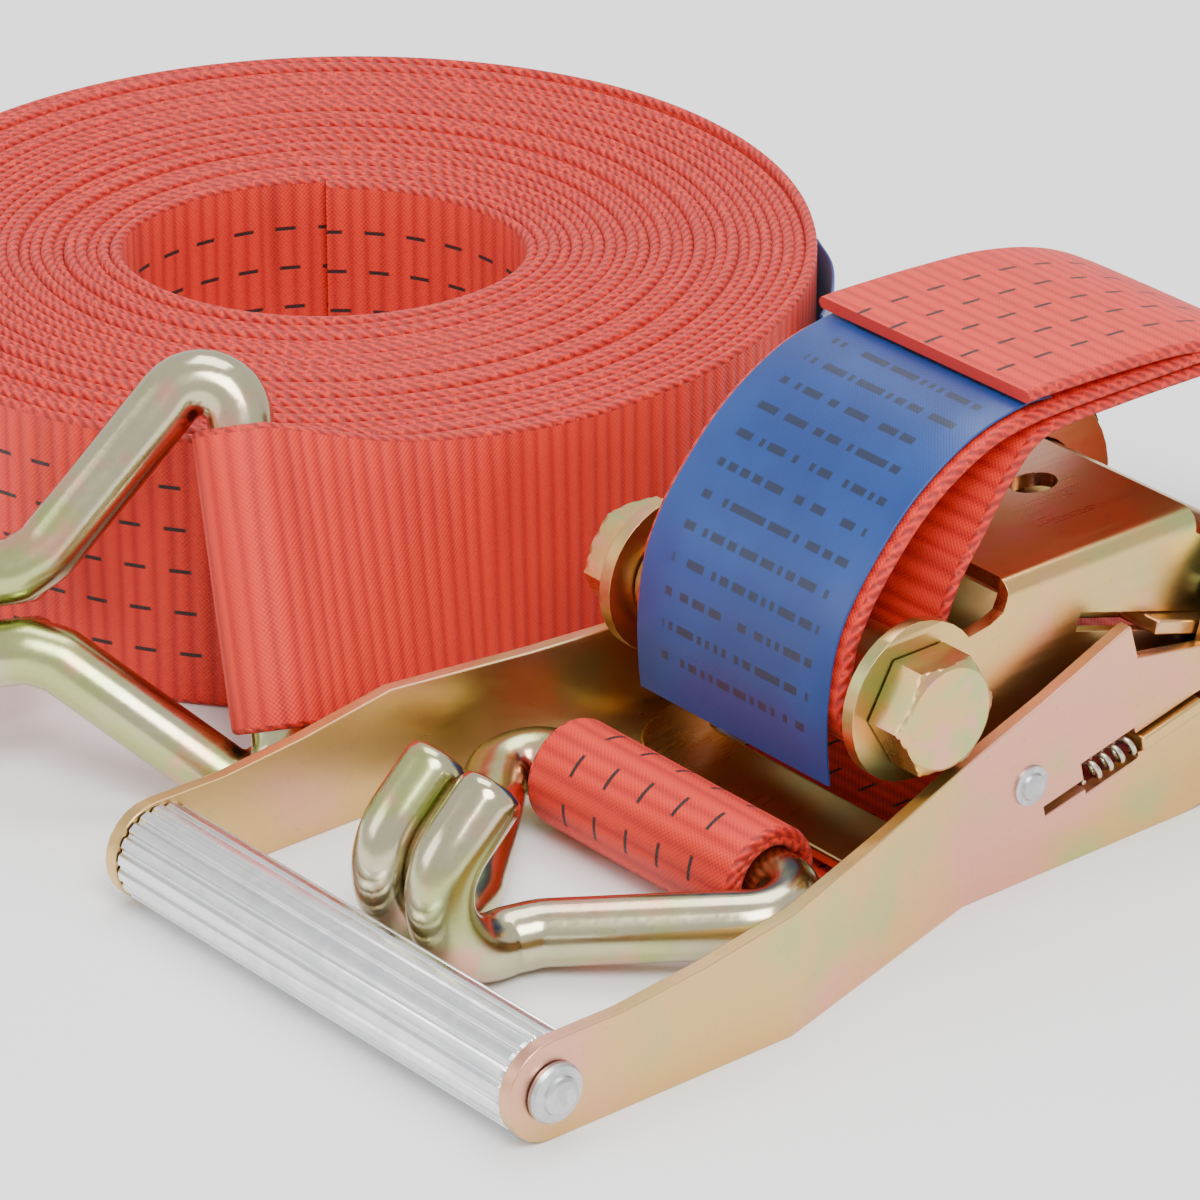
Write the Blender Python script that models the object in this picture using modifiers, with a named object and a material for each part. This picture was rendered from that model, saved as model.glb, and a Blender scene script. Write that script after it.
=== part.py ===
"""Two-part ratchet tie down for 50 mm webbing, lying ready for use.

Lengths are in millimetres in this file and become metres as each object is made.
X runs from the grip to the spindle, Y across the ratchet, Z up from the floor.
"""
from math import asin, atan2, cos, degrees, pi, radians, sin, tan

import bmesh
import bpy
from mathutils import Matrix, Vector

for item in list(bpy.data.objects):
    bpy.data.objects.remove(item, do_unlink=True)

MM = 0.001
GAP = 0.3                            # clearance between touching pieces
CENTRE_X, CENTRE_Y = 106.775, 89.6     # middle of the outline, put on the world origin

# webbing
WEB_HALF = 25.0                      # half of the 50 mm width
WEB_THICK = 2.1

# handle: two stepped side plates joined by the grip
PLATE = 2.5
GRIP_Z = 8.5
GRIP_RADIUS = 8.4
GRIP_FACE = 50.5                     # outer face of a plate at the grip
PIVOT_FACE = 37.25                   # outer face of a plate at the spindle
STEP_START, STEP_END = 48.0, 96.0    # where the plate steps in
ROD_RADIUS = 4.0
RIVET = (110.2, 17.2)                # clinched rivet in each side plate

# spindle and ratchet wheels
SPINDLE = Vector((171.0, 0.0, 25.0))
DISC_RADIUS = 23.0                   # round end of a handle plate
BAR_RADIUS = 11.0
BAR_REACH = 44.5
SLOT_HALF = 2.5                      # half of the slot between the two half-round bars
BORE_RADIUS = 11.4
TEETH = 12
TIP_RADIUS, ROOT_RADIUS = 21.0, 16.5
WHEEL_INNER, WHEEL_OUTER = 31.3, 34.3
PIN_Y = 41.0

# frame
FRAME_FACE = 30.75
FRAME_PLATE = 2.5
WEB_TOP = 50.5
WEB_START, WEB_STOP = 111.0, 152.0
CHEEK_RADIUS, CAM_RADIUS = 19.0, 22.5
BOLT = Vector((91.0, 0.0, 36.0))
BOLT_RADIUS = 6.0
LOBE_RADIUS = 13.5
HEX = 18.0                           # across the flats of bolt head and nut

# pawls: each slides on a line through the spindle's axis
PAWL_THICK = 2.6
LOCK_ANGLE = radians(163.0)
LOCK_TIP, LOCK_SHOULDER, LOCK_END = 18.2, 32.0, 47.0
DRIVE_ANGLE = radians(192.5)
DRIVE_TIP, DRIVE_END = 23.0, 90.0

# hooks: one wire, crossbar, two legs and two hooked ends side by side
WIRE_RADIUS = 5.5
CROSSBAR_STRAIGHT = 26.5             # half of the straight stretch
CORNER_RADIUS = 6.4
LEG_ANGLE = radians(42.5)
PAIR_HALF = 6.6
HOOK_RADIUS = 12.0
HOOK_SWEEP = radians(143.0)
HOOK_TIP = 9.0                       # straight end after the bend
SHORT_BAR = Vector((66.5, 0.0, 10.0))
LONG_BAR = Vector((39.5, 71.0, 35.8))
LONG_BAR_LINE = Vector((0.177, 0.419, 0.890)).normalized()
LONG_HOOK_LINE = Vector((-0.797, 0.591, -0.120))

# coil of the long strap
COIL_CENTRE = Vector((113.0, 148.0, 0.0))
COIL_RADIUS = 84.5
EYE_CENTRE = (111.0, 145.0)
EYE_LENGTH, EYE_WIDTH = 64.0, 56.0
EYE_HEADING = radians(-40.0)
LAP_START, LAP_LEAVES = 300.0, 268.0  # directions where the outer lap begins and leaves the coil

parts = bpy.data.collections.new("ratchet_tie_down")
cutters = bpy.data.collections.new("cutters")
for group in (parts, cutters):
    bpy.context.scene.collection.children.link(group)


# ---- materials -------------------------------------------------------------------------

def material(name, colour, roughness, metallic):
    """A Principled material with one colour."""
    made = bpy.data.materials.new(name)
    made.use_nodes = True
    shader = made.node_tree.nodes["Principled BSDF"]
    shader.inputs["Base Color"].default_value = (*colour, 1.0)
    shader.inputs["Roughness"].default_value = roughness
    shader.inputs["Metallic"].default_value = metallic
    return made


FINISHES = {
    "zinc_plate": ((0.72, 0.62, 0.42), 0.35, 0.9),
    "zinc_wire": ((0.45, 0.42, 0.30), 0.25, 0.95),
    "zinc_bolt": ((0.62, 0.60, 0.42), 0.3, 0.9),
    "aluminium": ((0.85, 0.86, 0.86), 0.3, 1.0),
    "spring_steel": ((0.60, 0.60, 0.55), 0.3, 1.0),
    "webbing": ((0.76, 0.08, 0.03), 0.8, 0.0),
    "label": ((0.01, 0.09, 0.35), 0.5, 0.0),
}


# ---- making shapes ---------------------------------------------------------------------

def to_world(point):
    """A point in millimetres as a world position in metres."""
    x, y, z = point
    return Vector(((x - CENTRE_X) * MM, (y - CENTRE_Y) * MM, z * MM))


def finish(item, name, finish_name, group=parts):
    """Name an object, give it its own material and put it in its collection."""
    item.name = name
    item.data.name = name
    for owner in list(item.users_collection):
        owner.objects.unlink(item)
    group.objects.link(item)
    item.data.materials.clear()
    item.data.materials.append(material(name, *FINISHES[finish_name]))
    return item


def as_cutter(item):
    """Hide a helper solid and keep it out of the model."""
    for owner in list(item.users_collection):
        owner.objects.unlink(item)
    cutters.objects.link(item)
    item.hide_render = True
    item.display_type = "WIRE"
    return item


def combine(item, helper, operation="DIFFERENCE"):
    """Cut an object with a helper solid, or join or intersect the two."""
    as_cutter(helper)
    step = item.modifiers.new(operation.lower(), "BOOLEAN")
    step.operation = operation
    step.object = helper
    return item


def curve_to_mesh(item):
    """Turn a curve object into a closed mesh object in the same place."""
    bpy.context.view_layer.update()
    evaluated = item.evaluated_get(bpy.context.evaluated_depsgraph_get())
    data = bpy.data.meshes.new_from_object(evaluated)
    work = bmesh.new()
    work.from_mesh(data)
    bmesh.ops.remove_doubles(work, verts=work.verts, dist=0.00001)
    work.to_mesh(data)
    work.free()
    made = bpy.data.objects.new(item.name, data)
    bpy.context.scene.collection.objects.link(made)
    made.matrix_world = item.matrix_world.copy()
    bpy.data.objects.remove(item, do_unlink=True)
    return made


def flat_solid(outlines, low, high, plane="XZ"):
    """A flat outline, with any holes, made solid from low to high across its plane."""
    data = bpy.data.curves.new("outline", "CURVE")
    data.dimensions = "2D"
    data.fill_mode = "BOTH"
    data.extrude = (high - low) / 2 * MM
    for outline in outlines:
        spline = data.splines.new("POLY")
        spline.points.add(len(outline) - 1)
        for point, (a, b) in zip(spline.points, outline):
            point.co = (a * MM, b * MM, 0.0, 1.0)
        spline.use_cyclic_u = True
    item = bpy.data.objects.new("outline", data)
    bpy.context.scene.collection.objects.link(item)
    middle = (low + high) / 2
    if plane == "XZ":
        item.matrix_world = Matrix.Translation(to_world((0, middle, 0))) @ Matrix.Rotation(pi / 2, 4, "X")
    elif plane == "YZ":
        turn = Matrix(((0, 0, 1, 0), (1, 0, 0, 0), (0, 1, 0, 0), (0, 0, 0, 1)))
        item.matrix_world = Matrix.Translation(to_world((middle, 0, 0))) @ turn
    else:
        item.matrix_world = Matrix.Translation(to_world((0, 0, middle)))
    return curve_to_mesh(item)


def arc(cx, cy, radius, start, end, steps):
    """Points on an arc, angles in degrees."""
    angles = [radians(start + (end - start) * i / steps) for i in range(steps + 1)]
    return [(cx + radius * cos(a), cy + radius * sin(a)) for a in angles]


def circle(cx, cy, radius, sides=28):
    """A closed ring of points."""
    return arc(cx, cy, radius, 0, 360, sides)[:-1]


def smooth(points, steps):
    """Catmull-Rom curve through the points, with so many steps between neighbours."""
    vectors = [Vector(p) for p in points]
    ends = [2 * vectors[0] - vectors[1]] + vectors + [2 * vectors[-1] - vectors[-2]]
    found = []
    for i in range(1, len(ends) - 2):
        a, b, c, d = ends[i - 1:i + 3]
        for k in range(steps):
            t = k / steps
            found.append(0.5 * ((2 * b) + (c - a) * t + (2 * a - 5 * b + 4 * c - d) * t * t
                                + (3 * b - a - 3 * c + d) * t ** 3))
    return found + [vectors[-1]]


def turned(name, finish_name, profile, x, z, sides=32):
    """A solid turned about a line along Y. The profile is (radius, y), highest y first."""
    data = bpy.data.meshes.new(name)
    data.from_pydata([(r * MM, 0, y * MM) for r, y in profile],
                     [(i, i + 1) for i in range(len(profile) - 1)], [])
    item = bpy.data.objects.new(name, data)
    bpy.context.scene.collection.objects.link(item)
    item.matrix_world = Matrix.Translation(to_world((x, 0, z))) @ Matrix.Rotation(-pi / 2, 4, "X")
    spin = item.modifiers.new("turn", "SCREW")
    spin.steps = sides
    spin.render_steps = sides
    spin.use_merge_vertices = True
    spin.merge_threshold = 0.00001
    return finish(item, name, finish_name)


def tube(name, finish_name, points, radius, resolution=2):
    """A round wire along points in millimetres, with flat ends."""
    data = bpy.data.curves.new(name, "CURVE")
    data.dimensions = "3D"
    data.bevel_depth = radius * MM
    data.bevel_resolution = resolution
    data.use_fill_caps = True
    spline = data.splines.new("POLY")
    spline.points.add(len(points) - 1)
    for point, place in zip(spline.points, points):
        point.co = (*to_world(place), 1.0)
    item = bpy.data.objects.new(name, data)
    bpy.context.scene.collection.objects.link(item)
    return finish(item, name, finish_name)


def band(name, finish_name, rows, thickness):
    """A strap: an open surface between pairs of edge points, thickened about its middle."""
    data = bpy.data.meshes.new(name)
    corners = [to_world(p) for pair in rows for p in pair]
    faces = [(2 * i, 2 * i + 2, 2 * i + 3, 2 * i + 1) for i in range(len(rows) - 1)]
    data.from_pydata(corners, [], faces)
    item = bpy.data.objects.new(name, data)
    bpy.context.scene.collection.objects.link(item)
    wall = item.modifiers.new("thickness", "SOLIDIFY")
    wall.thickness = thickness * MM
    wall.offset = 0.0
    return finish(item, name, finish_name)


def side_band(name, finish_name, path, half=WEB_HALF, thickness=WEB_THICK):
    """A strap whose middle line is a path in the XZ plane."""
    return band(name, finish_name, [((x, half, z), (x, -half, z)) for x, z in path], thickness)


def spring(name, start, end, radius, wire, turns):
    """A round coil spring from start to end."""
    start, end = Vector(start), Vector(end)
    along = (end - start).normalized()
    across = along.cross(Vector((0, 1, 0))).normalized()
    third = along.cross(across)
    steps = turns * 12
    points = []
    for i in range(steps + 1):
        angle = 2 * pi * i / 12
        points.append(start + (end - start) * i / steps
                      + radius * (cos(angle) * across + sin(angle) * third))
    return tube(name, "spring_steel", points, wire, 1)


def axis_group(name, point, items):
    """An empty on a joint's axis, with the pieces that move about it as children."""
    empty = bpy.data.objects.new(name, None)
    empty.location = to_world(point)
    parts.objects.link(empty)
    for item in items:
        item.parent = empty
        item.matrix_parent_inverse = Matrix.Translation(-empty.location)
    return empty


# ---- handle ----------------------------------------------------------------------------

def radial(angle, distance, across=0.0):
    """(x, z) of a point seen from the spindle, across measured at a right angle upwards."""
    x = SPINDLE.x + distance * cos(angle) + across * sin(angle)
    z = SPINDLE.z + distance * sin(angle) - across * cos(angle)
    return x, z


def step_in(x):
    """How far a handle plate has stepped in towards the middle at x."""
    share = min(max((x - STEP_START) / (STEP_END - STEP_START), 0.0), 1.0)
    return (GRIP_FACE - PIVOT_FACE) * share


def handle_outline():
    """Side view of a handle plate: round grip end, tall shoulder, neck and round pivot end."""
    return (arc(0, GRIP_Z, GRIP_Z, 90, 270, 12)
            + [(STEP_START, 0.0), (STEP_END, 0.0), (146.0, 0.0)]
            + arc(SPINDLE.x, SPINDLE.z, DISC_RADIUS, -108, 168, 26)
            + [(136.0, 32.0), (133.4, 32.4), (131.6, 38.6), (129.4, 38.0), (113.0, 31.4),
               (STEP_END, 25.4), (72.0, 23.0), (STEP_START, 21.4), (30.0, 18.6), (14.0, 17.0)])


def window_outline():
    """Slot for the finger plate's ear, with a taller pocket for its spring and a thin tail."""
    half, low, high = 1.9, -2.9, 3.1
    nose, pocket, pocket_end, tail = 22.0, 38.0, 50.0, 59.0
    return [radial(DRIVE_ANGLE, s, w) for s, w in (
        (nose, -half), (pocket, -half), (pocket, low), (pocket_end, low), (pocket_end, -half), (tail, -half),
        (tail, -0.1), (pocket_end, -0.1), (pocket_end, high), (pocket, high), (pocket, half), (nose, half))]


def handle_plate(side, name):
    """One stepped side plate. side is -1 for the near plate and 1 for the far one."""
    holes = [circle(0, GRIP_Z, ROD_RADIUS + GAP, 20), circle(*RIVET, 2.5, 16),
             circle(SPINDLE.x, SPINDLE.z, BORE_RADIUS, 32), window_outline()]
    outer = side * GRIP_FACE
    inner = side * (GRIP_FACE - PLATE)
    item = flat_solid([handle_outline()] + holes, min(outer, inner), max(outer, inner))
    work = bmesh.new()
    work.from_mesh(item.data)
    place = item.matrix_world
    for bend in (STEP_START, STEP_END):
        local = place.inverted() @ to_world((bend, 0, 0))
        everything = list(work.verts) + list(work.edges) + list(work.faces)
        bmesh.ops.bisect_plane(work, geom=everything, dist=1e-7, plane_co=local, plane_no=(1, 0, 0))
    for vertex in work.verts:
        x = (place @ vertex.co).x / MM + CENTRE_X
        vertex.co.z += side * step_in(x) * MM
    work.to_mesh(item.data)
    work.free()
    return finish(item, name, "zinc_plate")


def grip_outline():
    """Round section with shallow lengthwise ribs."""
    ribs, rise = 18, 0.45
    found = []
    for i in range(ribs):
        start = 360.0 * i / ribs
        for share, r in ((0.0, -rise), (0.3, -rise), (0.42, 0.0), (0.88, 0.0)):
            angle = radians(start + share * 360.0 / ribs)
            found.append(((GRIP_RADIUS + r) * cos(angle), GRIP_Z + (GRIP_RADIUS + r) * sin(angle)))
    return found


def make_handle():
    """Side plates, grip, its riveted rod and the two clinched rivets."""
    for side, word in ((-1, "near"), (1, "far")):
        handle_plate(side, "handle_plate_" + word)
        profile = [(0, 1.6), (2.4, 1.6), (3.5, 0.9), (3.5, GAP), (2.2, GAP), (2.2, -PLATE - GAP),
                   (3.1, -PLATE - GAP), (3.1, -PLATE - 1.2), (0, -PLATE - 1.2)]
        profile = [(r, side * (PIVOT_FACE + h)) for r, h in profile]
        if side < 0:
            profile.reverse()
        turned("pawl_rivet_" + word, "aluminium", profile, *RIVET, 18)
    length = GRIP_FACE - PLATE - GAP
    sleeve = flat_solid([grip_outline(), circle(0, GRIP_Z, ROD_RADIUS + GAP, 20)], -length, length)
    finish(sleeve, "grip_sleeve", "aluminium")
    end = GRIP_FACE + GAP
    head = [(0, end + 2.5), (3.4, end + 2.5), (4.4, end + 1.8), (5.0, end + 0.6), (5.0, end), (ROD_RADIUS, end)]
    turned("grip_rod", "aluminium", head + [(r, -y) for r, y in reversed(head)], 0, GRIP_Z, 28)


# ---- finger plate and its springs ------------------------------------------------------

def drive_outline():
    """The finger plate seen square on: ears at the nose, arms, and a rounded finger bar."""
    arm, ear, ear_start, ear_end = 33.0, 38.6, 24.0, 37.8
    corner = 10.0
    outer = [(DRIVE_TIP, arm), (ear_start, arm), (ear_start, ear), (ear_end, ear), (ear_end, arm)]
    outer += arc(DRIVE_END - corner, arm - corner, corner, 90, 0, 6)
    outer = outer + [(s, -y) for s, y in reversed(outer)]
    start, end, inside, corner = 46.0, 78.0, 27.0, 7.0
    hole = [(start, inside)] + arc(end - corner, inside - corner, corner, 90, 0, 5)
    hole = hole + [(s, -y) for s, y in reversed(hole)]
    return outer, hole


def radial_plate(name, outlines, angle, thickness):
    """A flat plate on a sliding line. Its outline is (distance from the spindle, y)."""
    item = flat_solid(outlines, -thickness / 2, thickness / 2, "XY")
    item.matrix_world = Matrix.Identity(4)
    work = bmesh.new()
    work.from_mesh(item.data)
    for vertex in work.verts:
        distance, across, up = vertex.co / MM
        x, z = radial(angle, distance, up)
        vertex.co = to_world((x, across, z))
    bmesh.ops.reverse_faces(work, faces=work.faces)
    work.to_mesh(item.data)
    work.free()
    return finish(item, name, "zinc_plate")


def radial_spring(name, angle, start, end, y, radius, wire, turns):
    """A spring along a sliding line, in the plane at y."""
    (x0, z0), (x1, z1) = radial(angle, start, 0.1), radial(angle, end, 0.1)
    return spring(name, (x0, y, z0), (x1, y, z1), radius, wire, turns)


def make_drive_pawl():
    """Ring-shaped finger plate that slides in the handle's slots, and a spring behind each ear."""
    for side, word in ((-1, "near"), (1, "far")):
        middle = side * (PIVOT_FACE - PLATE / 2)
        radial_spring("drive_spring_" + word, DRIVE_ANGLE, 38.8, 49.2, middle, 1.8, 0.5, 4)
    return radial_plate("drive_pawl", drive_outline(), DRIVE_ANGLE, PAWL_THICK)


# ---- frame -----------------------------------------------------------------------------

def channel_outline():
    """End view of the folded frame: two sides and a web on top, with round bends."""
    outer, inner = 3.0, 0.8
    high, low, y = WEB_TOP, -1.0, FRAME_FACE
    points = [(-y, low)] + arc(-y + outer, high - outer, outer, 180, 90, 5)
    points += arc(y - outer, high - outer, outer, 90, 0, 5) + [(y, low)]
    y -= FRAME_PLATE
    high -= FRAME_PLATE
    points += [(y, low)] + arc(y - inner, high - inner, inner, 0, 90, 3)
    return points + arc(-y + inner, high - inner, inner, 90, 180, 3) + [(-y, low)]


def frame_outline():
    """Side view of the frame: web length, cheek and cam round the spindle, neck, lobe round the bolt."""
    over = WEB_TOP + 2.0
    return ([(WEB_START, over), (WEB_STOP, over), (WEB_STOP, 46.6), (156.4, 43.6)]
            + arc(SPINDLE.x, SPINDLE.z, CHEEK_RADIUS, 122, -130, 26)
            + arc(SPINDLE.x, SPINDLE.z, CAM_RADIUS, -130, -177, 7)
            + arc(BOLT.x, BOLT.z, LOBE_RADIUS, -80, -325, 24)
            + [(106.6, 44.4), (109.4, 45.6), (110.6, 48.6)])


def lock_slot():
    """Slot that the lock plate slides in."""
    half, start = PAWL_THICK / 2 + GAP, LOCK_TIP - 0.4
    corners = ((start, -half), (LOCK_END, -half), (LOCK_END, half), (start, half))
    return [radial(LOCK_ANGLE, s, w) for s, w in corners]


def box_section(x0, x1, z0, z1):
    """A rectangle in the XZ plane."""
    return [(x0, z0), (x1, z0), (x1, z1), (x0, z1)]


def make_frame():
    """The folded frame, cut from a long channel by its side view."""
    item = flat_solid([channel_outline()], 70.0, 200.0, "YZ")
    bolt_hole = circle(BOLT.x, BOLT.z, BOLT_RADIUS + GAP, 24)
    holes = [bolt_hole, circle(SPINDLE.x, SPINDLE.z, BORE_RADIUS, 32), lock_slot()]
    combine(item, flat_solid([frame_outline()] + holes, -40.0, 40.0), "INTERSECT")
    inside = FRAME_FACE - FRAME_PLATE
    for x0, x1 in ((70.0, WEB_START), (WEB_STOP, 200.0)):
        combine(item, flat_solid([box_section(x0, x1, 42.0, 56.0)], -inside, inside))
    oval = [(139.0 + 4.6 * cos(a), -6.0 + 3.4 * sin(a)) for a in (2 * pi * i / 20 for i in range(20))]
    combine(item, flat_solid([oval], 45.0, 56.0, "XY"))
    tab = box_section(WEB_START + 0.2, WEB_START + 2.4, 38.0, WEB_TOP - 0.4)
    combine(item, flat_solid([tab], -7.0, 7.0), "UNION")
    return finish(item, "frame", "zinc_plate")


def hexagon(across_flats, x, z):
    """Corners of a hexagon in the XZ plane with a flat on top."""
    radius = across_flats / 2 / cos(pi / 6)
    return [(x + radius * cos(i * pi / 3), z + radius * sin(i * pi / 3)) for i in range(6)]


def make_bolt():
    """Hex bolt, its nut, and the sleeve that the strap turns on."""
    face = FRAME_FACE + GAP
    bore = circle(BOLT.x, BOLT.z, BOLT_RADIUS + GAP, 24)
    end, inside_head = 42.0, -face - 2.0
    shank = [(0, end), (BOLT_RADIUS - 1.0, end), (BOLT_RADIUS, end - 1.0), (BOLT_RADIUS, inside_head), (0, inside_head)]
    bolt = turned("strap_bolt", "zinc_bolt", shank, BOLT.x, BOLT.z, 24)
    combine(bolt, flat_solid([hexagon(HEX, BOLT.x, BOLT.z)], -face - 7.4, -face), "UNION")
    nut = flat_solid([hexagon(HEX, BOLT.x, BOLT.z), bore], face, face + 8.4)
    finish(nut, "strap_nut", "zinc_bolt")
    inside = FRAME_FACE - FRAME_PLATE - GAP
    sleeve = flat_solid([circle(BOLT.x, BOLT.z, 8.5, 28), bore], -inside, inside)
    finish(sleeve, "bolt_sleeve", "zinc_bolt")
    return [bolt, nut, sleeve]


def make_lock():
    """Lock plate through both sides of the frame, and its return spring."""
    wing, arm, tail, cut = WHEEL_OUTER, 27.0, 26.0, 25.5
    half = [(LOCK_TIP, arm), (LOCK_TIP, wing), (LOCK_SHOULDER, wing), (LOCK_SHOULDER, tail), (LOCK_END, tail)]
    outline = [(cut, arm)] + half + [(s, -y) for s, y in reversed(half)] + [(cut, -arm)]
    pawl = radial_plate("lock_pawl", [outline], LOCK_ANGLE, PAWL_THICK)
    coil = radial_spring("lock_spring", LOCK_ANGLE, LOCK_END + 1.0, 58.6, 0.0, 2.9, 0.6, 5)
    return pawl, coil


# ---- spindle ---------------------------------------------------------------------------

def half_round(side, radius, flat):
    """Section of one half-round bar; side is 1 above the slot and -1 below it."""
    lift = degrees(asin(flat / radius))
    return [(SPINDLE.x + x, SPINDLE.z + side * z) for x, z in arc(0, 0, radius, lift, 180 - lift, 14)]


def wheel_outline():
    """Toothed ring of points with the middle of a gap on the lock plate's line."""
    pitch = 360.0 / TEETH
    first = degrees(LOCK_ANGLE) - 6.0
    found = []
    for i in range(TEETH):
        for turn, radius in ((0.0, ROOT_RADIUS), (6.0, ROOT_RADIUS), (12.0, ROOT_RADIUS),
                             (15.5, TIP_RADIUS), (19.5, TIP_RADIUS), (23.5, TIP_RADIUS)):
            angle = radians(first + i * pitch + turn)
            found.append((SPINDLE.x + radius * cos(angle), SPINDLE.z + radius * sin(angle)))
    return found


def make_spindle():
    """Two half-round bars, the keyed wheels, the outer washers and the split pins."""
    made = []
    for side, word in ((1, "upper"), (-1, "lower")):
        bar = flat_solid([half_round(side, BAR_RADIUS, SLOT_HALF)], -BAR_REACH, BAR_REACH)
        for end in (-PIN_Y, PIN_Y):
            combine(bar, flat_solid([circle(SPINDLE.x, end, 1.8, 12)], 0.0, 50.0, "XY"))
        made.append(finish(bar, "spindle_half_" + word, "zinc_bolt"))
    for side, word in ((-1, "near"), (1, "far")):
        keys = [half_round(turn, BAR_RADIUS + GAP, SLOT_HALF - GAP) for turn in (1, -1)]
        low, high = sorted((side * WHEEL_INNER, side * WHEEL_OUTER))
        wheel = flat_solid([wheel_outline()] + keys, low, high)
        made.append(finish(wheel, "ratchet_wheel_" + word, "zinc_bolt"))
        low, high = sorted((side * (PIVOT_FACE + GAP), side * (PIVOT_FACE + 1.8)))
        washer = [circle(SPINDLE.x, SPINDLE.z, 15.0, 32), circle(SPINDLE.x, SPINDLE.z, BORE_RADIUS, 32)]
        made.append(finish(flat_solid(washer, low, high), "spindle_washer_" + word, "zinc_bolt"))
        reach = BAR_RADIUS + 2.2
        pin = [(SPINDLE.x, side * PIN_Y, SPINDLE.z - reach), (SPINDLE.x, side * PIN_Y, SPINDLE.z + reach)]
        made.append(tube("split_pin_" + word, "spring_steel", pin, 1.5))
    return made


# ---- hooks -----------------------------------------------------------------------------

def hook_side():
    """Half of a hook from the crossbar's middle to a tip: (forward, across, up)."""
    turn = 90 + degrees(LEG_ANGLE)
    points = [(0, 0, 0)]
    points += [(a, b, 0) for a, b in arc(CORNER_RADIUS, CROSSBAR_STRAIGHT, CORNER_RADIUS, 180, 180 - turn, 8)]
    forward, across, _ = points[-1]
    apex = forward + (across - PAIR_HALF) / tan(LEG_ANGLE)
    points.append((apex - 3.0, PAIR_HALF + 2.2, 0))
    steps = 12
    for i in range(steps + 1):
        angle = HOOK_SWEEP * i / steps
        points.append((apex + 2.0 + HOOK_RADIUS * sin(angle), PAIR_HALF, HOOK_RADIUS * (1 - cos(angle))))
    forward, across, up = points[-1]
    points.append((forward + HOOK_TIP * cos(HOOK_SWEEP), across, up + HOOK_TIP * sin(HOOK_SWEEP)))
    return points


def make_hook(name, origin, forward, across, up):
    """A whole hook, tip to tip, in its own directions."""
    half = hook_side()
    whole = [(f, -a, u) for f, a, u in reversed(half[1:])] + half[1:]
    points = [origin + forward * f + across * a + up * u for f, a, u in whole]
    return tube(name, "zinc_wire", points, WIRE_RADIUS, 3)


def long_hook_axes():
    """Directions of the long strap's hook: along its legs, along its crossbar, and the way it curls."""
    across = LONG_BAR_LINE
    forward = (LONG_HOOK_LINE - across * LONG_HOOK_LINE.dot(across)).normalized()
    return forward, across, forward.cross(across)


def make_hooks():
    """The short strap's hook lies flat, curling up, and the long strap's leans on its crossbar."""
    level = Vector((0, 1, 0))
    drop = (SHORT_BAR.z - WIRE_RADIUS) / 40.0
    forward = Vector((-1, 0, -drop)).normalized()
    short = make_hook("hook_short", SHORT_BAR, forward, level, level.cross(forward))
    return short, make_hook("hook_long", LONG_BAR, *long_hook_axes())


# ---- short strap -----------------------------------------------------------------------

def outer_leg():
    """The eye's outer leg, from the sleeve's left side up to the sewn lap."""
    return [(82.6, 45.0), (87.8, 54.0), (97.6, 64.6), (109.0, 71.4), (120.0, 73.9), (140.0, 74.1),
            (162.0, 73.7)]


def make_short_strap():
    """Eye, arch, floor run, roll and the label that hangs from the lap."""
    bend = WEB_THICK / 2 + 8.8
    inner_leg = [(162.0, 71.2), (140.0, 71.6), (124.0, 70.9), (116.6, 65.8), (109.4, 56.4), (104.6, 49.6),
                 (102.0, 43.6)]
    loop = arc(BOLT.x, BOLT.z, bend, 8, -184, 11)
    eye = side_band("short_strap_eye", "webbing", smooth(inner_leg + loop + outer_leg(), 2))
    arch = smooth([(162.6, 73.7), (171.0, 70.7), (188.0, 61.2), (204.0, 51.2), (216.0, 39.6), (221.0, 27.0),
                   (217.0, 13.6), (208.4, 4.6), (200.0, 1.3)], 2)
    side_band("short_strap_arch", "webbing", arch)
    floor = WEB_THICK / 2
    side_band("short_strap_run", "webbing", [(199.6, floor), (160.0, floor), (120.0, floor), (73.6, floor)])
    roll = flat_solid([circle(SHORT_BAR.x, SHORT_BAR.z, 9.6, 28),
                       circle(SHORT_BAR.x, SHORT_BAR.z, WIRE_RADIUS + GAP, 28)], 0.6 - WEB_HALF, WEB_HALF - 0.6)
    finish(roll, "short_strap_roll", "webbing")
    offset = 1.8
    hang = BOLT.x - bend - offset
    label = smooth([(hang, 21.6), (hang, 36.0), (81.2, 46.2), (86.4, 55.4), (96.6, 66.2), (108.4, 73.2),
                    (120.0, 75.9)], 2)
    return eye, side_band("strap_label", "label", label, 23.0, 0.6)


# ---- long strap ------------------------------------------------------------------------

def eye_outline():
    """Oval of the coil's eye with slightly pointed ends."""
    half_length, half_width = EYE_LENGTH / 2, EYE_WIDTH / 2
    radius = (half_length ** 2 + half_width ** 2) / (2 * half_width)
    reach = degrees(atan2(half_length, radius - half_width))
    upper = arc(0, half_width - radius, radius, 90 + reach, 90 - reach, 12)
    lower = [(-x, -y) for x, y in upper]
    c, s = cos(EYE_HEADING), sin(EYE_HEADING)
    x0, y0 = EYE_CENTRE
    return [(x0 + x * c - y * s, y0 + x * s + y * c) for x, y in upper[:-1] + lower[:-1]]


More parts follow.
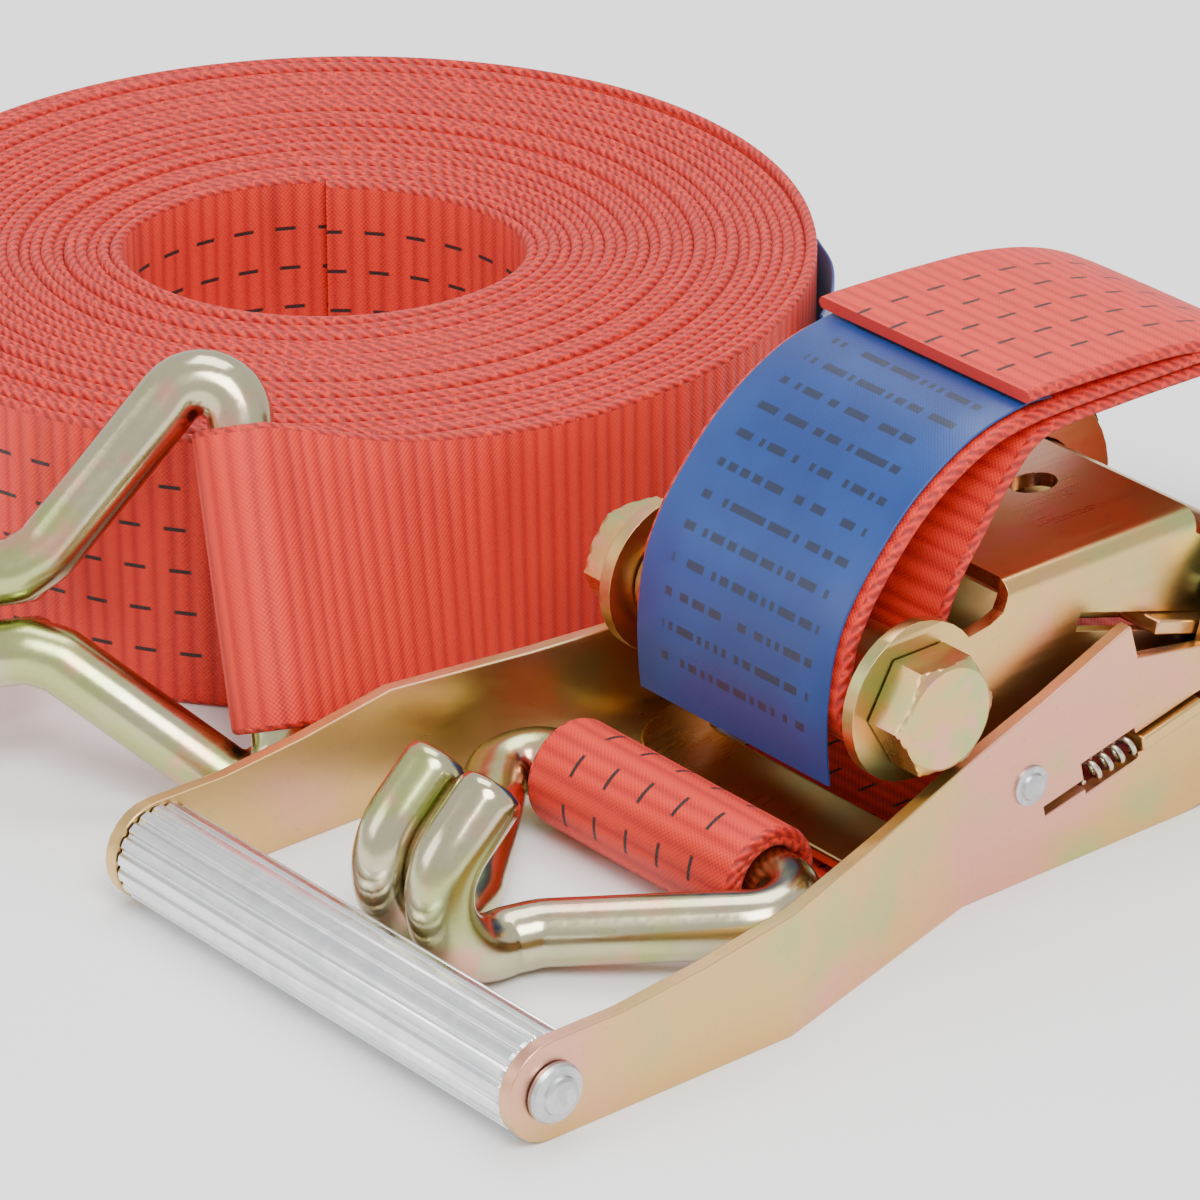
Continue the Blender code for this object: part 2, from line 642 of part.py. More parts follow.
def lap_rows():
    """The outer lap from the coil's front, round the hook's crossbar and back, as pairs of edge points."""
    plumb = Vector((0, 0, 1))
    forward, line, curl = long_hook_axes()
    clear = COIL_RADIUS + WEB_THICK / 2 + GAP
    on_coil = [Vector((x, y, WEB_HALF))
               for x, y in arc(COIL_CENTRE.x, COIL_CENTRE.y, clear, LAP_START, LAP_LEAVES, 5)]
    wrap = WIRE_RADIUS + WEB_THICK / 2 + 0.7
    centre = LONG_BAR.copy()
    loop = [centre + wrap * (-cos(radians(a)) * curl + sin(radians(a)) * forward) for a in range(-35, 173, 23)]
    tail = [(Vector((52.4, 70.6, 32.0)), 0.8), (Vector((61.0, 66.0, 30.6)), 0.55)]
    free = [Vector((84.0, 61.8, 26.8)), Vector((62.0, 62.0, 30.6))]
    middle = smooth(on_coil[-2:] + free + loop[:2], 3)[4:-4]
    rows = [(p + plumb * WEB_HALF, p - plumb * WEB_HALF) for p in on_coil]
    for i, p in enumerate(middle):
        share = (i + 1) / (len(middle) + 1)
        lean = plumb.lerp(line, share * share * (3 - 2 * share)).normalized()
        rows.append((p + lean * WEB_HALF, p - lean * WEB_HALF))
    for p, share in [(p, 1.0) for p in loop] + tail:
        lean = plumb.lerp(line, share).normalized()
        rows.append((p + lean * WEB_HALF, p - lean * WEB_HALF))
    return rows


def make_long_strap():
    """Wound coil, its lap with the hook's eye, and the small label on the outside."""
    rim = circle(COIL_CENTRE.x, COIL_CENTRE.y, COIL_RADIUS, 72)
    coil = finish(flat_solid([rim, eye_outline()], 0.0, 2 * WEB_HALF, "XY"), "long_strap_coil", "webbing")
    eye = band("long_strap_eye", "webbing", lap_rows(), WEB_THICK)
    edge = [(182.4, 95.6), (177.0, 85.6), (168.4, 76.0), (161.0, 70.4)]
    label = band("coil_label", "label", [((x, y, 48.0), (x, y, 2.0)) for x, y in edge], 0.6)
    return [coil, eye, label]


# ---- assembly --------------------------------------------------------------------------

make_handle()
drive = make_drive_pawl()
frame = make_frame()
bolts = make_bolt()
lock, lock_coil = make_lock()
spindle = make_spindle()
hook_short, hook_long = make_hooks()
short_eye, short_label = make_short_strap()
long_strap = make_long_strap()

lock_x, lock_z = radial(LOCK_ANGLE, LOCK_SHOULDER)
drive_x, drive_z = radial(DRIVE_ANGLE, DRIVE_TIP)
axis_group("frame_axis", SPINDLE, [frame, lock_coil, short_eye, short_label] + bolts)
axis_group("spindle_axis", SPINDLE, spindle)
axis_group("lock_axis", (lock_x, 0.0, lock_z), [lock])
axis_group("drive_axis", (drive_x, 0.0, drive_z), [drive])
axis_group("hook_short_axis", SHORT_BAR, [hook_short])
axis_group("hook_long_axis", LONG_BAR, [hook_long])
axis_group("long_strap_axis", COIL_CENTRE, long_strap)
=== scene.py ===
"""Looks of a ratchet tie down: webbing, zinc-plated steel, grip, hooks and labels round the fixed frame."""
import math

import bmesh
import bpy
import numpy as np
from mathutils import Matrix, Vector

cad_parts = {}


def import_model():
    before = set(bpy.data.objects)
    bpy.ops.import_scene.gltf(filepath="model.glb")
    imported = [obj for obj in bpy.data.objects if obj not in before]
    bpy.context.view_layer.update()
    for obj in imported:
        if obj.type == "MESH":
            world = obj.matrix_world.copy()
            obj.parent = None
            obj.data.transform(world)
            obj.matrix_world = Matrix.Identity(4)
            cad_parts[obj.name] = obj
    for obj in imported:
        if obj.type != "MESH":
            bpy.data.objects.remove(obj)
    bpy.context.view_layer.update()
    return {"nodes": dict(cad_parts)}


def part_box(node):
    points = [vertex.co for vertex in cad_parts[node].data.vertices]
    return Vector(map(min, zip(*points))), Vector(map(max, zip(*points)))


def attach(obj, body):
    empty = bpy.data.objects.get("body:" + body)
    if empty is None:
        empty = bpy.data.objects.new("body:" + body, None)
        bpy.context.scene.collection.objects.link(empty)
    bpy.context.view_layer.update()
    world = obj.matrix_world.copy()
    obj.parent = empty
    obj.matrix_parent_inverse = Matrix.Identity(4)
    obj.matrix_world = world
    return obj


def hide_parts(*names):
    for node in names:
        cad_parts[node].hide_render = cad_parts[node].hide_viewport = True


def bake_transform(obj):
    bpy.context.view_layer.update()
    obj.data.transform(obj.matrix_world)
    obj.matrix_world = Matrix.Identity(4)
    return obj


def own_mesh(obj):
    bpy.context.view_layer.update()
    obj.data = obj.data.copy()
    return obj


bl_info = {
    "name": "Ratchet Tie Down",
    "version": (1, 0, 0),
    "blender": (4, 5, 0),
    "location": "3D View > Sidebar > Tie Down",
    "description": "Builds the webbing, plated steel, hooks and labels of a ratchet tie down",
    "category": "Object",
}

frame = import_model()
MM = 0.001

# ---- places: millimetres from the grip's axis and the ratchet's middle ----------------------
# The spindle, bolt, coil, grip and short bar are read from the frame. The long bar, the eye's
# centre, the sizes below and every path's points are typed, and repeat the CAD's numbers.

GRIP_LOW, GRIP_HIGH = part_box("grip_sleeve")
HOME_X, HOME_Y = (GRIP_LOW.x + GRIP_HIGH.x) / 2, (GRIP_LOW.y + GRIP_HIGH.y) / 2


def world(points):
    """Millimetres from the grip's axis to metres in the frame: scaled, then shifted to the grip."""
    return np.asarray(points, float) * MM + np.array([HOME_X, HOME_Y, 0.0])


def middle(node):
    """Middle of a CAD node's box, in millimetres from the grip's axis."""
    low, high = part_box(node)
    centre = (np.array(low) + np.array(high)) / 2
    return (centre - np.array([HOME_X, HOME_Y, 0.0])) / MM


def span(node):
    """Size of a CAD node's box in millimetres."""
    low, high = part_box(node)
    return (np.array(high) - np.array(low)) / MM


SPINDLE = middle("spindle_washer_near")[[0, 2]]
BOLT = middle("bolt_sleeve")[[0, 2]]
COIL = middle("long_strap_coil")[:2]
COIL_RADIUS = span("long_strap_coil")[0] / 2
GRIP_Z = middle("grip_sleeve")[2]
SHORT_BAR = np.array([middle("short_strap_roll")[0], 0.0, middle("short_strap_roll")[2]])
LONG_BAR = np.array([39.5, 71.0, 35.8])
EYE = np.array([111.0, 145.0])
UP = np.array([0.0, 0.0, 1.0])
PIVOT_FACE = 37.25
STRAP_LOOP_RADIUS = 9.85
LABEL_WIDTH, LABEL_THICKNESS = 46.0, 0.5
FLOOR_HALF = 4.0
CAMERA_DISTANCE = 1.2


def unit(v):
    """A vector, or each row of an array, at length one."""
    v = np.asarray(v, float)
    return v / np.maximum(np.linalg.norm(v, axis=-1, keepdims=True), 1e-12)


LONG_LINE = unit([0.177, 0.419, 0.890])
LONG_FORWARD = unit(np.array([-0.797, 0.591, -0.120]) - LONG_LINE * np.dot([-0.797, 0.591, -0.120], LONG_LINE))
LONG_CURL = np.cross(LONG_FORWARD, LONG_LINE)


# ---- settings ------------------------------------------------------------------------------

def srgb(r, g, b):
    """A display colour from 0 to 255 as linear RGBA."""
    c = np.array([r, g, b]) / 255.0
    linear = np.where(c <= 0.04045, c / 12.92, ((c + 0.055) / 1.055) ** 2.4)
    return (*[float(x) for x in linear], 1.0)


def colour_property(name, description, default):
    """A colour that a user can change."""
    return bpy.props.FloatVectorProperty(name=name, description=description, subtype="COLOR", size=4,
                                         min=0.0, max=1.0, default=default)


def length_property(name, description, default):
    """A length that a user can change, in metres."""
    return bpy.props.FloatProperty(name=name, description=description, unit="LENGTH", default=default, min=0.0)


class WebbingSettings(bpy.types.PropertyGroup):
    """Sizes and colours of the strap; Light is a painted highlight of the weave, Dark is its painted shade and also the
    yarn's random darker tone.
    """
    width: length_property("Width", "Width of the webbing", 0.050)
    thickness: length_property("Thickness", "Thickness of one layer", 0.0021)
    row_gap: length_property("Row spacing", "Distance between rows of dashes", 0.0077)
    dash_pitch: length_property("Dash pitch", "Distance from one dash to the next", 0.008)
    turns: bpy.props.FloatProperty(name="Turns", description="Turns wound into the coil", default=25.4)
    base: colour_property("Base", "Colour of the yarn", srgb(204, 22, 5))
    # Light is a painted highlight on raised ribs, yarn crossings and selvage specks; Dark is painted shade in the
    # grooves and knit furrows, and also the random darker clouds.
    light: colour_property("Light", "Colour of the raised ribs", srgb(224, 50, 22))
    dark: colour_property("Dark", "Colour in the grooves", srgb(138, 12, 4))
    dash: colour_property("Dash", "Colour of the marker yarn", srgb(34, 14, 12))


class SteelSettings(bpy.types.PropertyGroup):
    """Colours of the plated steel and the aluminium."""
    gold: colour_property("Gold", "Main tint of the zinc plating", srgb(212, 174, 112))
    rose: colour_property("Rose", "Pink tint of the plating", srgb(222, 160, 138))
    green: colour_property("Green", "Green tint of the plating", srgb(176, 182, 120))
    wire: colour_property("Wire", "Tint of the polished wire", srgb(190, 182, 150))
    aluminium: colour_property("Aluminium", "Colour of the grip", srgb(232, 233, 234))
    edge: length_property("Edge", "Rounding of the stamped edges", 0.0004)


class LabelSettings(bpy.types.PropertyGroup):
    """Colours of the sewn labels."""
    cloth: colour_property("Cloth", "Colour of the label", srgb(2, 46, 112))
    ink: colour_property("Ink", "Colour of the print", srgb(8, 22, 48))


# ---- meshes --------------------------------------------------------------------------------

def surface(name, points, u, v):
    """A closed surface from a grid of points (n along, m round): quads between neighbours, ends closed."""
    n, m = points.shape[:2]
    i, j = np.meshgrid(np.arange(n - 1), np.arange(m), indexing="ij")
    beside = (j + 1) % m
    quads = np.stack([i * m + j, (i + 1) * m + j, (i + 1) * m + beside, i * m + beside], -1).reshape(-1, 4)
    faces = quads.tolist() + [list(range(m))[::-1], list(range((n - 1) * m, n * m))]
    mesh = bpy.data.meshes.new(name)
    mesh.from_pydata(points.reshape(-1, 3).tolist(), [], faces)
    coords = np.zeros((len(mesh.loops), 2), np.float32)
    corners = np.stack([np.stack([u[i], v[j]], -1), np.stack([u[i + 1], v[j]], -1),
                        np.stack([u[i + 1], v[j + 1]], -1), np.stack([u[i], v[j + 1]], -1)], 2)
    coords[:quads.size] = corners.reshape(-1, 2)
    mesh.uv_layers.new(name="UVMap").data.foreach_set("uv", coords.ravel())
    work = bmesh.new()
    work.from_mesh(mesh)
    bmesh.ops.recalc_face_normals(work, faces=work.faces)
    work.to_mesh(mesh)
    work.free()
    item = bpy.data.objects.new(name, mesh)
    bpy.context.scene.collection.objects.link(item)
    return item


def shade(item, angle=30.0):
    """Smooth shading with sharp edges past an angle in degrees."""
    item.data.shade_smooth()
    item.data.set_sharp_from_angle(angle=math.radians(angle))
    return item


def distances(path):
    """Distance along a path up to each of its points."""
    return np.concatenate([[0.0], np.cumsum(np.linalg.norm(np.diff(path, axis=0), axis=1))])


def smooth(points, steps):
    """Catmull-Rom curve: on each stretch a cubic whose slope at a point is half its neighbours' difference."""
    p = np.asarray(points, float)
    p = np.vstack([2 * p[0] - p[1], p, 2 * p[-1] - p[-2]])
    t = np.linspace(0, 1, steps, endpoint=False)[None, :, None]
    a, b, c, d = (p[k:len(p) - 3 + k][:, None, :] for k in range(4))
    square, cube = 2 * a - 5 * b + 4 * c - d, 3 * b - a - 3 * c + d
    curve = 0.5 * (2 * b + (c - a) * t + square * t ** 2 + cube * t ** 3)
    return np.vstack([curve.reshape(-1, p.shape[1]), p[-2]])


def even(path, step):
    """The same path with points every so many millimetres."""
    d = distances(path)
    at = np.linspace(0, d[-1], max(int(d[-1] / step), 2) + 1)
    return np.stack([np.interp(at, d, path[:, k]) for k in range(path.shape[1])], 1)


def tangents(path):
    """Unit direction of a path at each point, from its neighbours."""
    return unit(np.gradient(path, axis=0))


def carried(path, first):
    """Two unit directions square to a path at each point; the first is turned along with the path."""
    along = tangents(path)
    across = np.zeros_like(path)
    across[0] = unit(first - along[0] * np.dot(first, along[0]))
    for k in range(1, len(path)):
        across[k] = unit(across[k - 1] - along[k] * np.dot(across[k - 1], along[k]))
    return across, np.cross(along, across)


def wire(name, path, radius, sides=24, first=(0, 0, 1), blunt=0.35):
    """A round bar: a circle of given radius carried along a path, with chamfered ends."""
    a, b = carried(path, np.asarray(first, float))
    along = tangents(path)
    angle = np.linspace(0, 2 * np.pi, sides, endpoint=False)
    ring = a[:, None] * np.cos(angle)[None, :, None] + b[:, None] * np.sin(angle)[None, :, None]
    points = path[:, None] + radius * ring
    shares = ((1 - blunt, 0.0), (1 - blunt * 0.3, blunt * 0.35), (1.0, blunt))
    start = [path[0] - along[0] * radius * (blunt - s) + radius * r * ring[0] for r, s in shares[:2]]
    end = [path[-1] + along[-1] * radius * (blunt - s) + radius * r * ring[-1] for r, s in shares[:2][::-1]]
    points = np.concatenate([np.array(start), points, np.array(end)])
    u = distances(points[:, 0]) * MM
    return shade(surface(name, world(points), u, np.append(angle, 2 * np.pi) * radius * MM), 40)


def turned(name, profile, x, z, sides=64):
    """A turned piece: a profile of (radius, y) carried round a line along Y."""
    profile = np.asarray(profile, float)
    angle = np.linspace(0, 2 * np.pi, sides, endpoint=False)
    points = np.stack([x + profile[:, 0, None] * np.cos(angle), np.broadcast_to(profile[:, 1, None],
                      (len(profile), sides)), z + profile[:, 0, None] * np.sin(angle)], -1)
    u = distances(profile) * MM
    return shade(surface(name, world(points), u, np.append(angle, 2 * np.pi) * 0.01), 30)


def webbing_section(width, thickness):
    """Flat cross-section with rounded selvages: (across, through) and the distance round it."""
    half, r = width / 2, thickness / 2
    face = np.linspace(-(half - r), half - r, 7)
    turn = np.linspace(90, -90, 6)[1:-1] * np.pi / 180
    outer = [(s, r) for s in face]
    right = [(half - r + r * np.cos(a), r * np.sin(a)) for a in turn]
    inner = [(s, -r) for s in face[::-1]]
    left = [(-(half - r) - r * np.cos(a), -r * np.sin(a)) for a in turn]
    section = np.array(outer + right + inner + left)
    loop = np.vstack([section, section[:1]])
    return section, distances(loop)


def ribbon(name, path, across, settings, width=None, thickness=None):
    """Webbing: its cross-section carried along a path, standing in the given width direction."""
    width = settings.width / MM if width is None else width
    thickness = settings.thickness / MM if thickness is None else thickness
    across = unit(np.broadcast_to(across, path.shape))
    through = unit(np.cross(tangents(path), across))
    section, v = webbing_section(width, thickness)
    points = (path[:, None] + across[:, None] * section[None, :, :1] + through[:, None] * section[None, :, 1:])
    return shade(surface(name, world(points), distances(path) * MM, v * MM), 60)


def from_node(node, name, settings, segments=2, width=None):
    """A finer copy of a CAD node: its loose triangles are merged and its edges rounded."""
    mesh = frame["nodes"][node].data.copy()
    work = bmesh.new()
    work.from_mesh(mesh)
    bmesh.ops.remove_doubles(work, verts=work.verts, dist=0.00002)
    flat = math.radians(1.5)
    bmesh.ops.dissolve_limit(work, angle_limit=flat, verts=work.verts, edges=work.edges)
    work.to_mesh(mesh)
    work.free()
    mesh.name = name
    item = bpy.data.objects.new(name, mesh)
    bpy.context.scene.collection.objects.link(item)
    rounding = item.modifiers.new("rounded edges", "BEVEL")
    rounding.width = settings.edge if width is None else width
    rounding.segments = segments
    rounding.limit_method = "ANGLE"
    rounding.angle_limit = math.radians(38)
    rounding.harden_normals = False
    return shade(item, 38)


def placed(item, body, slot, material, *nodes):
    """Gives a piece its material and body, and lets it stand for CAD nodes; the slot is not used."""
    item.data.materials.clear()
    item.data.materials.append(material)
    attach(item, body)
    if nodes:
        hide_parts(*nodes)
    return item


# ---- materials -----------------------------------------------------------------------------

class Graph:
    """Adds shader nodes to a node tree with short calls."""

    def __init__(self, tree):
        self.tree = tree

    def node(self, kind, inputs=None, **values):
        """A node with its settings and inputs, which are values or other nodes' outputs."""
        made = self.tree.nodes.new(kind)
        for key, value in values.items():
            setattr(made, key, value)
        for key, value in (inputs or {}).items():
            if isinstance(value, bpy.types.NodeSocket):
                self.tree.links.new(value, made.inputs[key])
            else:
                made.inputs[key].default_value = value
        return made

    def math(self, operation, a, b=0.0, c=0.0, clamp=False):
        """One Math node's value."""
        return self.node("ShaderNodeMath", {0: a, 1: b, 2: c}, operation=operation, use_clamp=clamp).outputs[0]

    def mix(self, share, a, b, blend="MIX"):
        """Mix of two colours."""
        made = self.node("ShaderNodeMix", {0: share, 6: a, 7: b}, data_type="RGBA", blend_type=blend)
        return made.outputs[2]

    def noise(self, vector, scale, detail=3.0, rough=0.5):
        """Noise value from 0 to 1."""
        made = self.node("ShaderNodeTexNoise", {"Vector": vector, "Scale": scale, "Detail": detail,
                                                "Roughness": rough})
        return made.outputs[0]

    def step(self, value, low, high):
        """Rises smoothly from 0 at low to 1 at high."""
        made = self.node("ShaderNodeMapRange", {0: value, 1: low, 2: high, 3: 0.0, 4: 1.0},
                         interpolation_type="SMOOTHSTEP", clamp=True)
        return made.outputs[0]


def node_group(name, inputs, outputs):
    """An empty shader node group with its sockets; returns the tree, a Graph and its two ends."""
    tree = bpy.data.node_groups.new(name, "ShaderNodeTree")
    for kind, label, default in inputs:
        socket = tree.interface.new_socket(label, in_out="INPUT", socket_type=kind)
        if default is not None:
            socket.default_value = default
    for kind, label in outputs:
        tree.interface.new_socket(label, in_out="OUTPUT", socket_type=kind)
    graph = Graph(tree)
    return tree, graph, graph.node("NodeGroupInput"), graph.node("NodeGroupOutput")


COLOUR, VALUE, VECTOR = "NodeSocketColor", "NodeSocketFloat", "NodeSocketVector"


def weave_group(s):
    """Webbing from the distance along and round: ribs, yarn, dashes on both faces, and a selvage. Raised ribs, yarn and
    specks are painted lighter (painted highlight), grooves and knit furrows darker (painted shade).
    """
    tree, g, given, out = node_group(
        "webbing_weave",
        [(VECTOR, "UV", None), (VALUE, "Dashes", 1.0), (COLOUR, "Base", s.base), (COLOUR, "Light", s.light),
         (COLOUR, "Dark", s.dark), (COLOUR, "Dash", s.dash)],
        [(COLOUR, "Color"), (VALUE, "Height"), (VALUE, "Roughness")])
    parts = g.node("ShaderNodeSeparateXYZ", {0: given.outputs["UV"]})
    u, v = parts.outputs[0], parts.outputs[1]
    face = s.width - s.thickness
    bend = s.thickness * math.pi / 2
    second = g.math("GREATER_THAN", v, face + bend / 2)
    across = g.math("SUBTRACT", v, g.math("MULTIPLY", second, face + bend))
    off = g.math("SUBTRACT", across, face / 2)
    on_face = g.math("LESS_THAN", g.math("ABSOLUTE", off), face / 2)
    uneven = g.node("ShaderNodeCombineXYZ", {0: g.math("MULTIPLY", u, 160.0), 1: g.math("MULTIPLY", v, 12.0)})
    drift = g.noise(uneven.outputs[0], 1.0, 2.0)
    phase = g.math("MULTIPLY", u, 2 * math.pi / 0.0031)
    wave = g.math("SINE", g.math("ADD", phase, g.math("MULTIPLY", drift, 5.0)))
    rib = g.math("MULTIPLY_ADD", wave, 0.5, 0.5)
    fine = g.math("SINE", g.math("MULTIPLY", u, 2 * math.pi / 0.00078))
    cross = g.math("SINE", g.math("MULTIPLY", v, 2 * math.pi / 0.00085))
    yarn = g.math("MULTIPLY_ADD", g.math("MULTIPLY", fine, cross), 0.5, 0.5)
    row = g.math("DIVIDE", off, s.row_gap)
    nearest = g.math("ROUND", row)
    beside = g.math("MULTIPLY", g.math("ABSOLUTE", g.math("SUBTRACT", row, nearest)), s.row_gap)
    in_row = g.math("SUBTRACT", 1.0, g.step(beside, 0.00026, 0.00046))
    kept = g.math("LESS_THAN", g.math("ABSOLUTE", nearest), 2.5)
    shift = g.math("MULTIPLY", nearest, 0.09)
    cell = g.math("FRACT", g.math("ADD", g.math("DIVIDE", u, s.dash_pitch), shift))
    in_dash = g.math("MULTIPLY", g.step(cell, 0.02, 0.08), g.math("SUBTRACT", 1.0, g.step(cell, 0.50, 0.56)))
    dash = g.math("MULTIPLY", g.math("MULTIPLY", in_row, kept), g.math("MULTIPLY", in_dash, on_face))
    dash = g.math("MULTIPLY", dash, given.outputs["Dashes"])
    slanted = g.math("ADD", g.math("MULTIPLY", u, 2 * math.pi / 0.0024), g.math("MULTIPLY", v, 2 * math.pi / 0.0021))
    knit = g.math("MULTIPLY_ADD", g.math("SINE", slanted), 0.5, 0.5)
    speck_at = g.node("ShaderNodeCombineXYZ", {0: g.math("MULTIPLY", u, 900.0), 1: g.math("MULTIPLY", v, 700.0)})
    speck = g.noise(speck_at.outputs[0], 1.0, 2.0)
    # Painted highlight: the rib crests are mixed towards the Light colour.
    plain = g.mix(g.math("MULTIPLY", g.step(rib, 0.1, 1.0), 0.62), given.outputs["Base"], given.outputs["Light"])
    # Painted shade: the low parts of the ribs are mixed towards the Dark colour.
    shaded_grooves = g.math("MULTIPLY", g.math("SUBTRACT", 1.0, g.step(rib, 0.0, 0.3)), 0.4)
    plain = g.mix(shaded_grooves, plain, given.outputs["Dark"])
    # Painted highlight: raised yarn crossings get more of the Light colour.
    plain = g.mix(g.math("MULTIPLY", yarn, 0.22), plain, given.outputs["Light"])
    # Random darker clouds: uneven tone of the yarn, not shade.
    plain = g.mix(g.math("MULTIPLY", g.step(drift, 0.5, 0.75), 0.3), plain, given.outputs["Dark"])
    # Painted shade: the knit's low parts on the selvage take the Dark colour, its crests the Base.
    edge = g.mix(knit, given.outputs["Dark"], given.outputs["Base"])
    # Painted glints: raised specks on the selvage take the Light colour.
    edge = g.mix(g.math("MULTIPLY", g.step(speck, 0.5, 0.68), 0.8), edge, given.outputs["Light"])
    colour = g.mix(on_face, edge, plain)
    colour = g.mix(dash, colour, given.outputs["Dash"])
    height = g.math("ADD", g.math("MULTIPLY", rib, 0.6), g.math("MULTIPLY", yarn, 0.35))
    height = g.math("SUBTRACT", height, g.math("MULTIPLY", dash, 0.3))
    selvage = g.math("ADD", g.math("MULTIPLY", knit, 0.9), g.math("MULTIPLY", speck, 0.4))
    height = g.node("ShaderNodeMix", {0: on_face, 2: selvage, 3: height}, data_type="FLOAT").outputs[0]
    g.tree.links.new(colour, out.inputs["Color"])
    g.tree.links.new(height, out.inputs["Height"])
    g.tree.links.new(g.math("MULTIPLY_ADD", speck, 0.2, 0.52), out.inputs["Roughness"])
    return tree


def plating_group():
    """Zinc plating: clouds of two tints over a main one, fine scratches and small pits."""
    tree, g, given, out = node_group(
        "zinc_plating",
        [(VECTOR, "Place", None), (COLOUR, "Main", None), (COLOUR, "Second", None), (COLOUR, "Third", None),
         (VALUE, "Cloud", 30.0), (VALUE, "Shine", 0.3)],
        [(COLOUR, "Color"), (VALUE, "Height"), (VALUE, "Roughness")])
    place = given.outputs["Place"]
    cloud = g.noise(place, given.outputs["Cloud"], 2.0)
    other = g.noise(g.node("ShaderNodeVectorMath", {0: place, 1: (0.31, 0.17, 0.53)}, operation="ADD").outputs[0],
                    g.math("MULTIPLY", given.outputs["Cloud"], 1.7), 2.0)
    colour = g.mix(g.step(cloud, 0.46, 0.64), given.outputs["Main"], given.outputs["Second"])
    colour = g.mix(g.math("MULTIPLY", g.step(other, 0.52, 0.7), 0.8), colour, given.outputs["Third"])
    grain = g.noise(place, 900.0, 3.0, 0.6)
    long_way = g.node("ShaderNodeVectorMath", {0: place, 1: (60.0, 900.0, 900.0)}, operation="MULTIPLY")
    scratch = g.noise(long_way.outputs[0], 1.0, 2.0)
    colour = g.mix(g.math("MULTIPLY", g.step(grain, 0.58, 0.8), 0.25), colour, (0.25, 0.2, 0.12, 1.0))
    rough = g.math("ADD", given.outputs["Shine"], g.math("MULTIPLY", scratch, 0.16))
    rough = g.math("ADD", rough, g.math("MULTIPLY", g.math("SUBTRACT", cloud, 0.5), 0.25))
    g.tree.links.new(colour, out.inputs["Color"])
    height = g.math("ADD", g.math("MULTIPLY", grain, 0.5), g.math("MULTIPLY", scratch, 0.5))
    g.tree.links.new(height, out.inputs["Height"])
    g.tree.links.new(rough, out.inputs["Roughness"])
    return tree


def principled(name, metallic=0.0, sheen=0.0):
    """A material with an empty tree but for its shader; returns it, a Graph and the shader."""
    material = bpy.data.materials.new(name)
    material.use_nodes = True
    shader = material.node_tree.nodes["Principled BSDF"]
    shader.inputs["Metallic"].default_value = metallic
    shader.inputs["Sheen Weight"].default_value = sheen
    return material, Graph(material.node_tree), shader


def with_bump(g, shader, height, strength, distance):
    """Feeds a height through a Bump node to the shader's normal."""
    bump = g.node("ShaderNodeBump", {"Height": height, "Strength": strength, "Distance": distance})
    g.tree.links.new(bump.outputs[0], shader.inputs["Normal"])


def webbing_material(name, group, s, dashes):
    """Webbing with or without its rows of dashes."""
    material, g, shader = principled(name, sheen=0.05)
    weave = g.node("ShaderNodeGroup", node_tree=group)
    weave.inputs["Dashes"].default_value = dashes
    # Light and Dark carry the weave's painted highlight and painted shade; Dark also gives its random darker tone.
    for label, value in (("Base", s.base), ("Light", s.light), ("Dark", s.dark), ("Dash", s.dash)):
        weave.inputs[label].default_value = value
    g.tree.links.new(g.node("ShaderNodeUVMap", uv_map="UVMap").outputs[0], weave.inputs["UV"])
    g.tree.links.new(weave.outputs["Color"], shader.inputs["Base Color"])
    g.tree.links.new(weave.outputs["Roughness"], shader.inputs["Roughness"])
    with_bump(g, shader, weave.outputs["Height"], 0.55, 0.0005)
    return material


def steel_material(name, group, colours, cloud, shine, metallic=1.0, bump=0.1):
    """Plated steel in three tints."""
    material, g, shader = principled(name, metallic)
    plating = g.node("ShaderNodeGroup", node_tree=group)
    for label, value in zip(("Main", "Second", "Third"), colours):
        plating.inputs[label].default_value = value
    plating.inputs["Cloud"].default_value = cloud
    plating.inputs["Shine"].default_value = shine
    g.tree.links.new(g.node("ShaderNodeTexCoord").outputs["Object"], plating.inputs["Place"])
    g.tree.links.new(plating.outputs["Color"], shader.inputs["Base Color"])
    g.tree.links.new(plating.outputs["Roughness"], shader.inputs["Roughness"])
    with_bump(g, shader, plating.outputs["Height"], bump, 0.0002)
    return material


